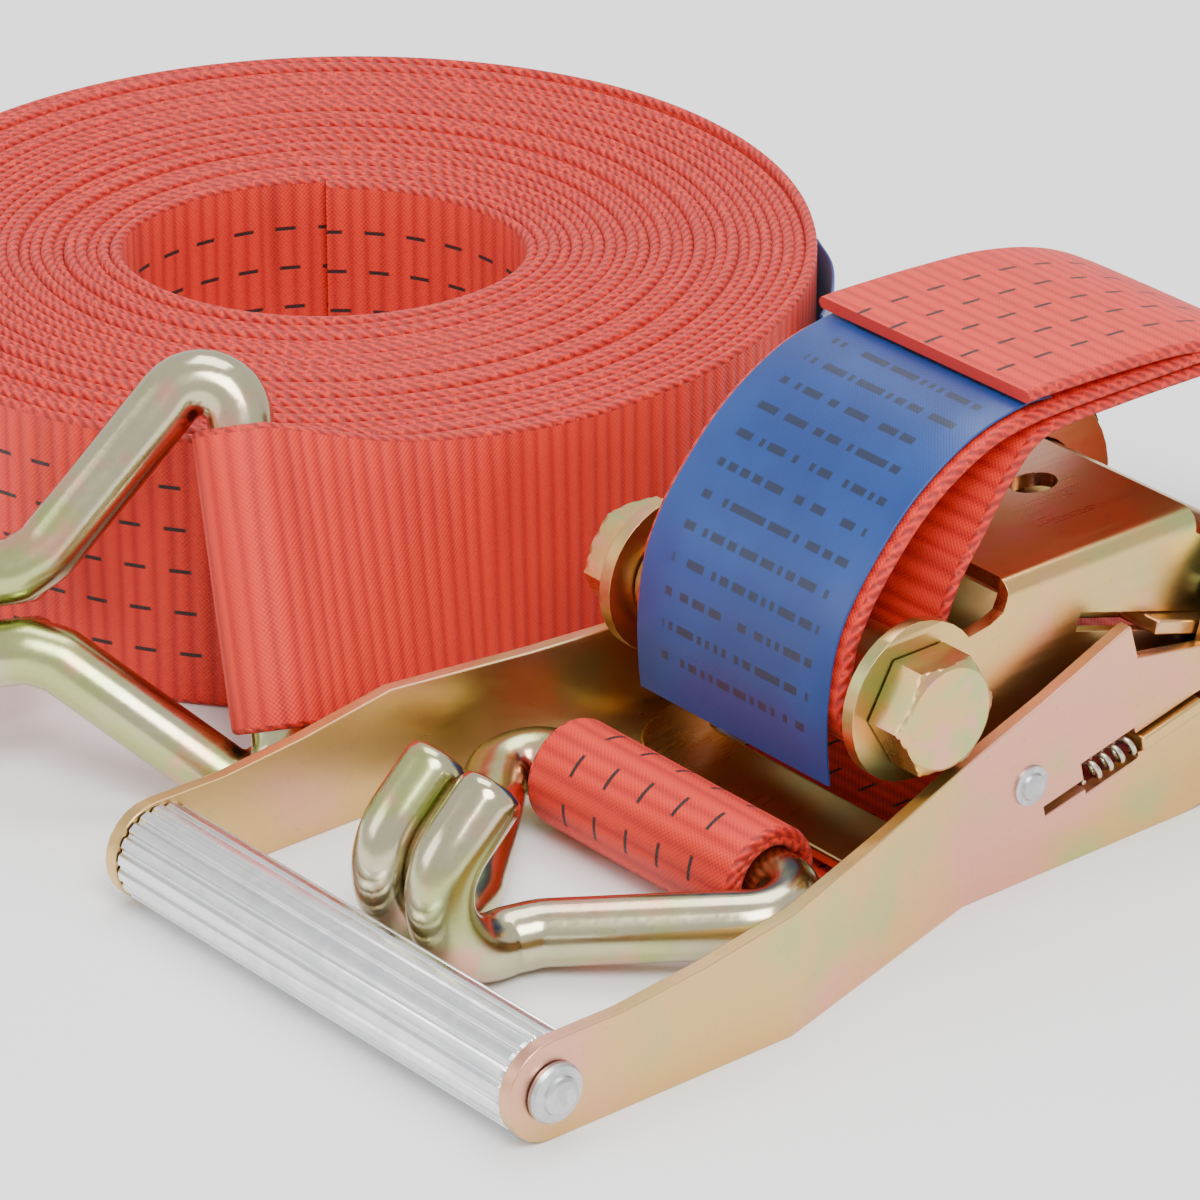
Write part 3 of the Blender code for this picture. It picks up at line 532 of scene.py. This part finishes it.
def label_material(name, s, length, width, rows):
    """Label cloth with rows of random bars in place of print, one row of stitches and a soft weave."""
    material, g, shader = principled(name, sheen=0.1)
    parts = g.node("ShaderNodeSeparateXYZ", {0: g.node("ShaderNodeUVMap", uv_map="UVMap").outputs[0]})
    u, v = parts.outputs[0], parts.outputs[1]
    pitch = length / rows
    line = g.math("DIVIDE", u, pitch)
    number = g.math("FLOOR", line)
    within = g.math("FRACT", line)
    in_line = g.math("MULTIPLY", g.step(within, 0.34, 0.40), g.math("SUBTRACT", 1.0, g.step(within, 0.60, 0.66)))
    cell = g.node("ShaderNodeCombineXYZ", {0: g.math("FLOOR", g.math("MULTIPLY", v, 1000.0)), 1: number})
    chance = g.node("ShaderNodeTexWhiteNoise", {"Vector": cell.outputs[0]}, noise_dimensions="3D").outputs[0]
    past_end = g.step(v, width - 0.007, width - 0.006)
    inside = g.math("MULTIPLY", g.step(v, 0.004, 0.0045), g.math("SUBTRACT", 1.0, past_end))
    print_zone = g.math("MULTIPLY", g.step(u, pitch * 1.0, pitch * 1.02),
                        g.math("SUBTRACT", 1.0, g.step(u, length - 1.6 * pitch, length - 1.5 * pitch)))
    bars = g.math("MULTIPLY", g.math("MULTIPLY", in_line, g.math("GREATER_THAN", chance, 0.36)),
                  g.math("MULTIPLY", inside, print_zone))
    stitch_row = g.math("LESS_THAN", g.math("ABSOLUTE", g.math("SUBTRACT", u, length - 0.004)), 0.0004)
    dot = g.math("GREATER_THAN", g.math("FRACT", g.math("DIVIDE", v, 0.0028)), 0.6)
    stitch = g.math("MULTIPLY", stitch_row, dot)
    warp = g.math("SINE", g.math("MULTIPLY", u, 9000.0))
    weave = g.math("MULTIPLY", warp, g.math("SINE", g.math("MULTIPLY", v, 9000.0)))
    place = g.node("ShaderNodeTexCoord").outputs["Object"]
    fade = g.noise(place, 60.0, 2.0)
    colour = g.mix(g.math("MULTIPLY", g.step(fade, 0.4, 0.7), 0.25), s.cloth, srgb(8, 74, 150))
    colour = g.mix(g.math("MULTIPLY", bars, 0.9), colour, s.ink)
    colour = g.mix(stitch, colour, srgb(10, 40, 90))
    g.tree.links.new(colour, shader.inputs["Base Color"])
    shader.inputs["Roughness"].default_value = 0.38
    with_bump(g, shader, weave, 0.08, 0.0001)
    return material


MATERIALS = {}


def make_materials(scene):
    """Builds every material once."""
    web, steel, label = scene.tie_down_webbing, scene.tie_down_steel, scene.tie_down_label
    weave, plating = weave_group(web), plating_group()
    MATERIALS["dashed"] = webbing_material("webbing_dashed", weave, web, 1.0)
    MATERIALS["plain"] = webbing_material("webbing_plain", weave, web, 0.0)
    tints = (steel.gold, steel.rose, steel.green)
    MATERIALS["plate"] = steel_material("plated_plate", plating, tints, 26.0, 0.26)
    MATERIALS["frame"] = steel_material("plated_frame", plating, (steel.gold, steel.green, steel.rose), 34.0, 0.24)
    MATERIALS["bolt"] = steel_material("plated_bolt", plating, (steel.gold, steel.green, steel.rose), 90.0, 0.22)
    MATERIALS["wire"] = steel_material("plated_wire", plating, (steel.wire, steel.green, steel.rose), 55.0, 0.12)
    dark = (srgb(120, 116, 96), srgb(150, 140, 110), srgb(100, 100, 84))
    MATERIALS["wheel"] = steel_material("plated_wheel", plating, dark, 70.0, 0.3)
    spring = (srgb(190, 186, 170), srgb(206, 196, 160), srgb(170, 168, 160))
    MATERIALS["spring"] = steel_material("spring_wire", plating, spring, 300.0, 0.2)
    alu = (steel.aluminium, srgb(220, 221, 224), srgb(240, 240, 238))
    MATERIALS["grip"] = steel_material("extruded_aluminium", plating, alu, 120.0, 0.22, bump=0.05)
    MATERIALS["rivet"] = steel_material("rivet_aluminium", plating, (srgb(196, 198, 200), srgb(180, 182, 186),
                                        srgb(210, 210, 206)), 200.0, 0.3, bump=0.2)
    MATERIALS["strap_label"] = label_material("strap_label_cloth", label, 0.085, 0.046, 15)
    MATERIALS["coil_label"] = label_material("coil_label_cloth", label, 0.034, 0.046, 6)


# ---- the long strap ------------------------------------------------------------------------

LAP_LEAVES = math.radians(268.0)
WIRE_RADIUS = 5.5


def coil_path(turns, thickness):
    """The wound strap: a spiral whose shape goes from the eye's oval to the outer circle, turn by turn."""
    per_turn = 132
    count = int(turns * per_turn)
    share = np.linspace(0, 1, count + 1)
    angle = LAP_LEAVES + 2 * np.pi * turns * (1 - share)
    outer = COIL_RADIUS + thickness / 2 + 0.3
    turn = angle + math.radians(40.0)
    long_half, short_half = 33.0, 28.0
    oval = long_half * short_half / np.hypot(short_half * np.cos(turn), long_half * np.sin(turn)) + thickness / 2
    pointed = 1.6 * np.abs(np.cos(turn)) ** 9
    radius = (1 - share) * (oval + pointed) + share * outer
    last = np.clip((share - (1 - 1.05 / turns)) * turns / 0.5, 0, 1)
    slack = 1.5 * np.exp(-((np.mod(angle + np.pi, 2 * np.pi) - np.pi - 0.15) / 0.55) ** 2)
    radius = radius + last * slack
    radius = radius + 0.10 * np.sin(3.1 * angle) * np.sin(share * 60.0)
    centre = EYE[None] * (1 - share[:, None]) + COIL[None] * share[:, None]
    lift = 25.3 + 0.30 * np.sin(angle * 0.37 + 1.0) + 0.18 * np.sin(angle * 1.31)
    return np.stack([centre[:, 0] + radius * np.cos(angle), centre[:, 1] + radius * np.sin(angle), lift], 1)


def long_strap_path(settings):
    """Coil, free stretch and the loop round the hook's crossbar, with the width direction at each point."""
    thickness = settings.thickness / MM
    coil = coil_path(settings.turns, thickness)
    turn = np.radians(np.arange(-35, 173, 6))[:, None]
    wrap = WIRE_RADIUS + thickness / 2 + 0.7
    loop = LONG_BAR + wrap * (-np.cos(turn) * LONG_CURL + np.sin(turn) * LONG_FORWARD)
    knots = np.vstack([coil[-6], coil[-1], (84.0, 61.8, 26.8), (62.0, 62.0, 30.6), loop[0], loop[3]])
    free = smooth(knots, 14)[15:-14]
    ends = smooth([loop[-3], loop[-1], (52.4, 70.6, 32.0), (61.0, 66.0, 30.6)], 8)[9:]
    path = np.vstack([coil, free, loop[1:], ends])
    lean = np.concatenate([np.zeros(len(coil)), np.linspace(0, 1, len(free)), np.ones(len(loop) - 1),
                           np.linspace(1, 0.55, len(ends))])
    lean = lean * lean * (3 - 2 * lean)
    across = unit((1 - lean[:, None]) * UP + lean[:, None] * LONG_LINE)
    return path, across, len(coil)


class TIEDOWN_OT_long_strap(bpy.types.Operator):
    """Wind the long strap into its coil and lead its end round the hook"""
    bl_idname = "tiedown.long_strap"
    bl_label = "Long Strap"

    def execute(self, context):
        settings = context.scene.tie_down_webbing
        path, across, wound = long_strap_path(settings)
        lap = wound - 100
        coil = ribbon("long_strap_coiled", path[:lap + 1], across[:lap + 1], settings)
        placed(coil, "long_strap", "webbing", MATERIALS["dashed"], "long_strap_coil")
        end = ribbon("long_strap_end", path[lap:], across[lap:], settings)
        placed(end, "long_strap", "webbing", MATERIALS["plain"], "long_strap_eye")
        return {"FINISHED"}


# ---- the short strap -----------------------------------------------------------------------

def in_plane(points):
    """Points of (x, z) in the ratchet's middle plane."""
    points = np.asarray(points, float)
    return np.stack([points[:, 0], np.zeros(len(points)), points[:, 1]], 1)


def circle_points(centre, radius, start, end, steps):
    """Points of an arc in the XZ plane, angles in degrees."""
    a = np.radians(np.linspace(start, end, steps))
    return [(centre[0] + radius * math.cos(x), centre[1] + radius * math.sin(x)) for x in a]


INNER_LEG = [(162.0, 71.2), (140.0, 71.6), (124.0, 70.9), (116.6, 65.8), (109.4, 56.4), (104.6, 49.6),
             (102.0, 43.6)]
OUTER_LEG = [(82.6, 45.0), (87.8, 54.0), (97.6, 64.6), (109.0, 71.4), (120.0, 73.9), (140.0, 74.1),
             (162.0, 73.7)]
ARCH = [(119.4, 77.9), (124.0, 78.0), (140.0, 77.4), (156.0, 76.0), (171.0, 71.8), (188.0, 62.2), (204.0, 51.6),
        (216.0, 39.8), (221.2, 27.0), (217.4, 13.6), (208.6, 4.8), (200.0, 1.25)]


class TIEDOWN_OT_short_strap(bpy.types.Operator):
    """Lead the short strap round the bolt, over the ratchet, along the floor and round its hook"""
    bl_idname = "tiedown.short_strap"
    bl_label = "Short Strap"

    def execute(self, context):
        settings = context.scene.tie_down_webbing
        side = np.array([0.0, 1.0, 0.0])
        loop = circle_points(BOLT, STRAP_LOOP_RADIUS, 8, -184, 24)
        legs = smooth(in_plane(INNER_LEG), 10), smooth(in_plane(OUTER_LEG), 10)
        eye_path = even(np.vstack([legs[0][:-1], in_plane(loop), legs[1][1:]]), 1.2)
        eye = ribbon("short_strap_loop", eye_path, side, settings)
        placed(eye, "frame", "webbing", MATERIALS["plain"], "short_strap_eye")
        arch_path = even(smooth(in_plane(ARCH), 12), 1.2)
        arch = ribbon("short_strap_arch_web", arch_path, side, settings)
        arch.data.materials.append(MATERIALS["dashed"])
        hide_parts("short_strap_arch")
        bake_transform(arch)
        bar = SHORT_BAR[[0, 2]]
        angles = np.radians(np.linspace(-84, -84 - 600, 110))
        radius = np.linspace(8.75, 6.75, 110)
        roll = np.stack([bar[0] + radius * np.cos(angles), bar[1] + radius * np.sin(angles)], 1)
        knots = [(199.4, 1.08), (160.0, 1.08), (110.0, 1.08), (84.0, 1.08), (74.0, 1.1), roll[0]]
        floor = smooth(np.array(knots), 12)
        run_path = even(in_plane(np.vstack([floor[:-1], roll])), 1.0)
        run = ribbon("short_strap_run_web", run_path, side, settings)
        placed(run, "handle", "webbing", MATERIALS["dashed"], "short_strap_run", "short_strap_roll")
        return {"FINISHED"}


class TIEDOWN_OT_labels(bpy.types.Operator):
    """Hang the two sewn labels"""
    bl_idname = "tiedown.labels"
    bl_label = "Labels"

    def execute(self, context):
        settings = context.scene.tie_down_webbing
        hang = BOLT[0] - STRAP_LOOP_RADIUS - 1.8
        line = [(hang + 0.6, 21.6), (hang, 28.0), (hang, 36.0), (81.2, 46.2), (86.4, 55.4), (96.6, 66.2), (108.4, 73.2),
                (120.0, 75.9), (126.0, 75.7)]
        path = even(smooth(in_plane(line), 10), 1.2)
        strap = ribbon("strap_label_cloth", path, np.array([0.0, 1.0, 0.0]), settings, LABEL_WIDTH,
                       LABEL_THICKNESS)
        placed(strap, "frame", "label", MATERIALS["strap_label"], "strap_label")
        corners = [(182.4, 95.6, 25.0), (177.0, 85.6, 25.0), (168.4, 76.0, 25.0), (161.0, 70.4, 25.0)]
        path = even(smooth(np.array(corners), 8), 1.5)
        coil = ribbon("coil_label_cloth", path, -UP, settings, LABEL_WIDTH,
                       LABEL_THICKNESS)
        placed(coil, "long_strap", "label", MATERIALS["coil_label"], "coil_label")
        return {"FINISHED"}


# ---- hooks ---------------------------------------------------------------------------------

def hook_half():
    """Half a hook as (forward, across, up): straight, corner, leg, a bend upwards and back, and a tip."""
    straight, corner, leg, pair, bend = 26.5, 6.4, math.radians(42.5), 6.6, 12.0
    sweep, tip = math.radians(143.0), 9.0
    a = np.linspace(np.pi, np.pi / 2 - leg, 18)
    points = [np.stack([np.zeros(10), np.linspace(0, straight, 10, endpoint=False), np.zeros(10)], 1)]
    points.append(np.stack([corner + corner * np.cos(a), straight + corner * np.sin(a), np.zeros(18)], 1))
    end = points[-1][-1]
    apex = end[0] + (end[1] - pair) / math.tan(leg)
    leg_end = np.array([apex - 3.0, pair + 2.2, 0.0])
    points.append(np.linspace(end, leg_end, 12)[1:])
    b = np.linspace(0, sweep, 26)
    points.append(np.stack([apex + 2.0 + bend * np.sin(b), np.full(26, pair), bend * (1 - np.cos(b))], 1))
    last = points[-1][-1]
    points.append(last + np.linspace(0, tip, 6)[1:, None] * np.array([math.cos(sweep), 0.0, math.sin(sweep)]))
    return np.vstack(points)


def hook_path(origin, forward, across, up):
    """A whole hook, tip to tip, in its own directions."""
    half = hook_half()
    mirrored = half[:0:-1] * np.array([1.0, -1.0, 1.0])
    whole = np.vstack([mirrored, half])
    return even(origin + whole[:, :1] * forward + whole[:, 1:2] * across + whole[:, 2:] * up, 1.4)


class TIEDOWN_OT_hooks(bpy.types.Operator):
    """Bend the two hooks from round bar"""
    bl_idname = "tiedown.hooks"
    bl_label = "Hooks"

    def execute(self, context):
        level = np.array([0.0, 1.0, 0.0])
        drop = (SHORT_BAR[2] - WIRE_RADIUS) / 40.0
        forward = unit([-1.0, 0.0, -drop])
        for word, origin, axes in (("short", SHORT_BAR, (forward, level, np.cross(level, forward))),
                                   ("long", LONG_BAR, (LONG_FORWARD, LONG_LINE, LONG_CURL))):
            path = hook_path(origin, *axes)
            hook = wire("hook_" + word + "_wire", path, WIRE_RADIUS, 28, axes[1])
            placed(hook, "hook_" + word, "zinc_wire", MATERIALS["wire"], "hook_" + word)
        return {"FINISHED"}


# ---- handle --------------------------------------------------------------------------------

def grip_section(radius):
    """Round section with broad lands and narrow rounded flutes between them."""
    flutes, samples = 18, 16
    angle = np.linspace(0, 2 * np.pi, flutes * samples, endpoint=False)
    wave = 0.5 + 0.5 * np.cos(flutes * angle)
    r = radius - 0.55 * np.clip((wave - 0.62) / 0.38, 0, 1) ** 0.7
    return np.stack([r * np.cos(angle), r * np.sin(angle)], 1)


class TIEDOWN_OT_handle(bpy.types.Operator):
    """Finish the handle: stepped side plates, fluted grip, its riveted rod and the clinched rivets"""
    bl_idname = "tiedown.handle"
    bl_label = "Handle"

    def execute(self, context):
        steel = context.scene.tie_down_steel
        for word in ("near", "far"):
            node = "handle_plate_" + word
            placed(from_node(node, "side_plate_" + word, steel, 2), "handle", "zinc_plate",
                   MATERIALS["plate"], node)
            node = "pawl_rivet_" + word
            x, y, z = middle(node)
            sign = 1.0 if y > 0 else -1.0
            profile = [(0.0, 1.35), (1.4, 1.3), (2.1, 1.1), (2.3, 0.8), (2.4, 0.62), (3.0, 0.6), (3.4, 0.45),
                       (3.5, 0.1), (3.5, 0.0), (2.2, 0.0), (2.2, -2.8), (3.1, -2.8), (3.1, -3.5), (0.0, -3.7)]
            item = turned("clinched_rivet_" + word, [(r, sign * (PIVOT_FACE + h)) for r, h in profile], x, z, 40)
            placed(item, "handle", "aluminium", MATERIALS["rivet"], node)
        half = span("grip_sleeve")[1] / 2
        radius = span("grip_sleeve")[0] / 2
        ends = np.array([(-half, 0.94), (-half + 0.5, 1.0), (half - 0.5, 1.0), (half, 0.94)])
        section = grip_section(radius)
        rings = [(share * section[:, 0], np.full(len(section), y), GRIP_Z + share * section[:, 1])
                 for y, share in ends]
        points = np.stack([np.stack(ring, 1) for ring in rings])
        around = np.linspace(0, 2 * np.pi * radius, len(section) + 1) * MM
        sleeve = shade(surface("fluted_grip", world(points), ends[:, 0] * MM, around), 35)
        placed(sleeve, "handle", "aluminium", MATERIALS["grip"], "grip_sleeve")
        end = span("grip_rod")[1] / 2
        head = [(0.0, end), (2.6, end), (3.1, end - 0.3), (3.3, end - 0.9), (3.6, end - 1.0), (4.6, end - 1.2),
                (5.0, end - 1.8), (5.0, end - 2.5), (4.0, end - 2.6)]
        rod = turned("grip_rod_heads", head + [(r, -y) for r, y in head[::-1]], 0.0, GRIP_Z, 48)
        placed(rod, "handle", "aluminium", MATERIALS["rivet"], "grip_rod")
        return {"FINISHED"}


# ---- frame, bolt, spindle, pawls ------------------------------------------------------------

def hex_head(name, inner, outer, flats):
    """A hexagon head: radius is the smaller of the hexagon's and a cone that chamfers its outer face."""
    angle = np.linspace(0, 2 * np.pi, 96, endpoint=False)
    sector = np.mod(angle, np.pi / 3) - np.pi / 6
    hexagon = flats / 2 / np.cos(sector)
    sign = 1.0 if outer > inner else -1.0
    depth = abs(outer - inner)
    below_face = np.array([2.2, 1.6, 1.1, 0.7, 0.3, 0.02, 0.0, 0.0])
    heights = np.concatenate([[0.0, 0.3], depth - below_face])
    reach = np.minimum(hexagon[None], flats / 2 - 0.5 + 1.75 * (depth - heights)[:, None])
    reach[-1] = 0.0
    y = np.broadcast_to((inner + sign * heights)[:, None], reach.shape)
    points = np.stack([BOLT[0] + reach * np.cos(angle), y, BOLT[1] + reach * np.sin(angle)], -1)
    return shade(surface(name, world(points), heights * MM, np.append(angle, 2 * np.pi) * 0.009), 28)


class TIEDOWN_OT_frame(bpy.types.Operator):
    """Finish the folded frame, the strap bolt, its nut and its sleeve"""
    bl_idname = "tiedown.frame"
    bl_label = "Frame"

    def execute(self, context):
        steel = context.scene.tie_down_steel
        frame_piece = from_node("frame", "folded_frame", steel, 2)
        placed(frame_piece, "frame", "zinc_plate", MATERIALS["frame"], "frame")
        low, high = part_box("strap_bolt")
        head_end = (low.y - HOME_Y) / MM
        shank_end = (high.y - HOME_Y) / MM
        head = hex_head("strap_bolt_head", head_end + 7.4, head_end, 18.0)
        placed(head, "frame", "zinc_bolt", MATERIALS["bolt"])
        shank = turned("strap_bolt_shank", [(0.0, shank_end), (5.0, shank_end), (6.0, shank_end - 1.0),
                                            (6.0, head_end + 7.35), (0.0, head_end + 7.35)], BOLT[0], BOLT[1], 48)
        placed(shank, "frame", "zinc_bolt", MATERIALS["bolt"], "strap_bolt")
        low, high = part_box("strap_nut")
        nut = hex_head("strap_bolt_nut", (low.y - HOME_Y) / MM, (high.y - HOME_Y) / MM, 18.0)
        placed(nut, "frame", "zinc_bolt", MATERIALS["bolt"], "strap_nut")
        sleeve = from_node("bolt_sleeve", "strap_sleeve", steel, 2)
        placed(sleeve, "frame", "zinc_bolt", MATERIALS["bolt"], "bolt_sleeve")
        return {"FINISHED"}


class TIEDOWN_OT_spindle(bpy.types.Operator):
    """Finish the slotted spindle, its toothed wheels, washers and split pins"""
    bl_idname = "tiedown.spindle"
    bl_label = "Spindle"

    def execute(self, context):
        steel = context.scene.tie_down_steel
        for node in ("spindle_half_upper", "spindle_half_lower"):
            placed(from_node(node, node + "_bar", steel, 3, 0.0006), "spindle", "zinc_bolt", MATERIALS["bolt"], node)
        for word in ("near", "far"):
            node = "ratchet_wheel_" + word
            placed(from_node(node, "toothed_wheel_" + word, steel, 2, 0.0003), "spindle", "zinc_bolt",
                   MATERIALS["wheel"], node)
            node = "spindle_washer_" + word
            placed(from_node(node, "washer_" + word, steel, 2, 0.0003), "spindle", "zinc_bolt",
                   MATERIALS["bolt"], node)
            node = "split_pin_" + word
            x, y, z = middle(node)
            half = span(node)[2] / 2
            path = np.stack([np.full(9, x), np.full(9, y), np.linspace(z - half, z + half, 9)], 1)
            pin = wire("cotter_" + word, path, 1.5, 16, (1, 0, 0))
            placed(pin, "spindle", "spring_steel", MATERIALS["spring"], node)
        return {"FINISHED"}


def helix(start, end, radius, turns):
    """A coil spring's line: a circle of given radius turning as it moves from start to end."""
    along = unit(np.subtract(end, start))
    first = unit(np.cross(along, [0.0, 1.0, 0.0]))
    second = np.cross(along, first)
    t = np.linspace(0, 1, turns * 20 + 1)[:, None]
    a = 2 * np.pi * turns * t
    return np.asarray(start) + t * np.subtract(end, start) + radius * (np.cos(a) * first + np.sin(a) * second)


class TIEDOWN_OT_pawls(bpy.types.Operator):
    """Finish the lock plate, the finger plate and their springs"""
    bl_idname = "tiedown.pawls"
    bl_label = "Pawls"

    def execute(self, context):
        steel = context.scene.tie_down_steel
        placed(from_node("lock_pawl", "lock_plate", steel, 2), "lock_pawl", "zinc_plate", MATERIALS["frame"],
               "lock_pawl")
        placed(from_node("drive_pawl", "finger_plate", steel, 3, 0.0009), "drive_pawl", "zinc_plate",
               MATERIALS["frame"], "drive_pawl")
        for node, body, joint, angle, start, end, radius, thick, turns in (
                ("drive_spring_near", "handle", "drive_slide", 192.5, 38.8, 49.2, 1.8, 0.5, 4),
                ("drive_spring_far", "handle", "drive_slide", 192.5, 38.8, 49.2, 1.8, 0.5, 4),
                ("lock_spring", "frame", "lock_slide", 163.0, 48.0, 58.6, 2.9, 0.6, 5)):
            line = np.array([math.cos(math.radians(angle)), 0.0, math.sin(math.radians(angle))])
            centre = np.array([SPINDLE[0], middle(node)[1], SPINDLE[1] + 0.1])
            path = helix(centre + start * line, centre + end * line, radius, turns)
            item = wire(node + "_coil", path, thick, 12, (0, 1, 0))
            placed(item, body, "spring_steel", MATERIALS["spring"], node)
            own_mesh(item)
        return {"FINISHED"}


# ---- stage ---------------------------------------------------------------------------------

class TIEDOWN_OT_stage(bpy.types.Operator):
    """Lay the pale floor, hang the soft lights and place the camera"""
    bl_idname = "tiedown.stage"
    bl_label = "Stage"

    def execute(self, context):
        scene = context.scene
        floor_mesh = bpy.data.meshes.new("floor")
        corners = [(x * FLOOR_HALF, y * FLOOR_HALF, 0) for x, y in ((-1, -1), (1, -1), (1, 1), (-1, 1))]
        floor_mesh.from_pydata(corners, [], [(0, 1, 2, 3)])
        floor = bpy.data.objects.new("floor", floor_mesh)
        scene.collection.objects.link(floor)
        material, _, shader = principled("pale_floor")
        shader.inputs["Base Color"].default_value = (0.93, 0.93, 0.93, 1.0)
        shader.inputs["Roughness"].default_value = 0.7
        floor_mesh.materials.append(material)
        world_light = bpy.data.worlds.new("studio")
        scene.world = world_light
        world_light.use_nodes = True
        world_light.node_tree.nodes["Background"].inputs["Color"].default_value = (1.0, 1.0, 1.0, 1.0)
        world_light.node_tree.nodes["Background"].inputs["Strength"].default_value = 1.0
        for name, place, size, power in (("key", (-0.35, -0.75, 1.0), 0.6, 15.0), ("fill", (-0.9, 0.35, 0.5), 0.5, 2.5),
                                         ("top", (0.3, 0.2, 1.1), 0.7, 8.0)):
            light = bpy.data.lights.new(name, "AREA")
            light.energy = power
            light.size = size
            lamp = bpy.data.objects.new(name, light)
            lamp.location = place
            lamp.rotation_mode = "QUATERNION"
            lamp.rotation_quaternion = (-Vector(place)).to_track_quat("-Z", "Y")
            scene.collection.objects.link(lamp)
        back = unit([-0.5767, -0.6854, 0.4446])
        right = unit(np.cross(UP, back))
        up = np.cross(back, right)
        target = world([122.79, 84.32, 0.0])
        camera_data = bpy.data.cameras.new("camera")
        camera_data.sensor_width = 36.0
        camera_data.lens = 207.2
        camera_data.clip_start = 0.01
        camera = bpy.data.objects.new("camera", camera_data)
        columns = np.stack([right, up, back, target + CAMERA_DISTANCE * back], 1)
        camera.matrix_world = Matrix(np.vstack([columns, [0, 0, 0, 1]]).tolist())
        scene.collection.objects.link(camera)
        scene.camera = camera
        return {"FINISHED"}


class TIEDOWN_PT_panel(bpy.types.Panel):
    """Buttons for each group of pieces"""
    bl_idname = "TIEDOWN_PT_panel"
    bl_label = "Ratchet Tie Down"
    bl_space_type = "VIEW_3D"
    bl_region_type = "UI"
    bl_category = "Tie Down"

    def draw(self, context):
        for operator in OPERATORS:
            self.layout.operator(operator.bl_idname)


SETTINGS = {"tie_down_webbing": WebbingSettings, "tie_down_steel": SteelSettings, "tie_down_label": LabelSettings}
OPERATORS = (TIEDOWN_OT_long_strap, TIEDOWN_OT_short_strap, TIEDOWN_OT_labels, TIEDOWN_OT_hooks, TIEDOWN_OT_handle,
             TIEDOWN_OT_frame, TIEDOWN_OT_spindle, TIEDOWN_OT_pawls, TIEDOWN_OT_stage)


def register():
    """Register the settings, operators and panel."""
    for name, group in SETTINGS.items():
        bpy.utils.register_class(group)
        setattr(bpy.types.Scene, name, bpy.props.PointerProperty(type=group))
    for item in (*OPERATORS, TIEDOWN_PT_panel):
        bpy.utils.register_class(item)


def unregister():
    """Take the settings, operators and panel away."""
    for item in (TIEDOWN_PT_panel, *reversed(OPERATORS)):
        bpy.utils.unregister_class(item)
    for name, group in reversed(SETTINGS.items()):
        delattr(bpy.types.Scene, name)
        bpy.utils.unregister_class(group)


def main():
    """Build every piece."""
    register()
    make_materials(bpy.context.scene)
    for operator in OPERATORS:
        group, name = operator.bl_idname.split(".")
        getattr(getattr(bpy.ops, group), name)()
    bpy.context.view_layer.update()


if __name__ == "__main__":
    main()
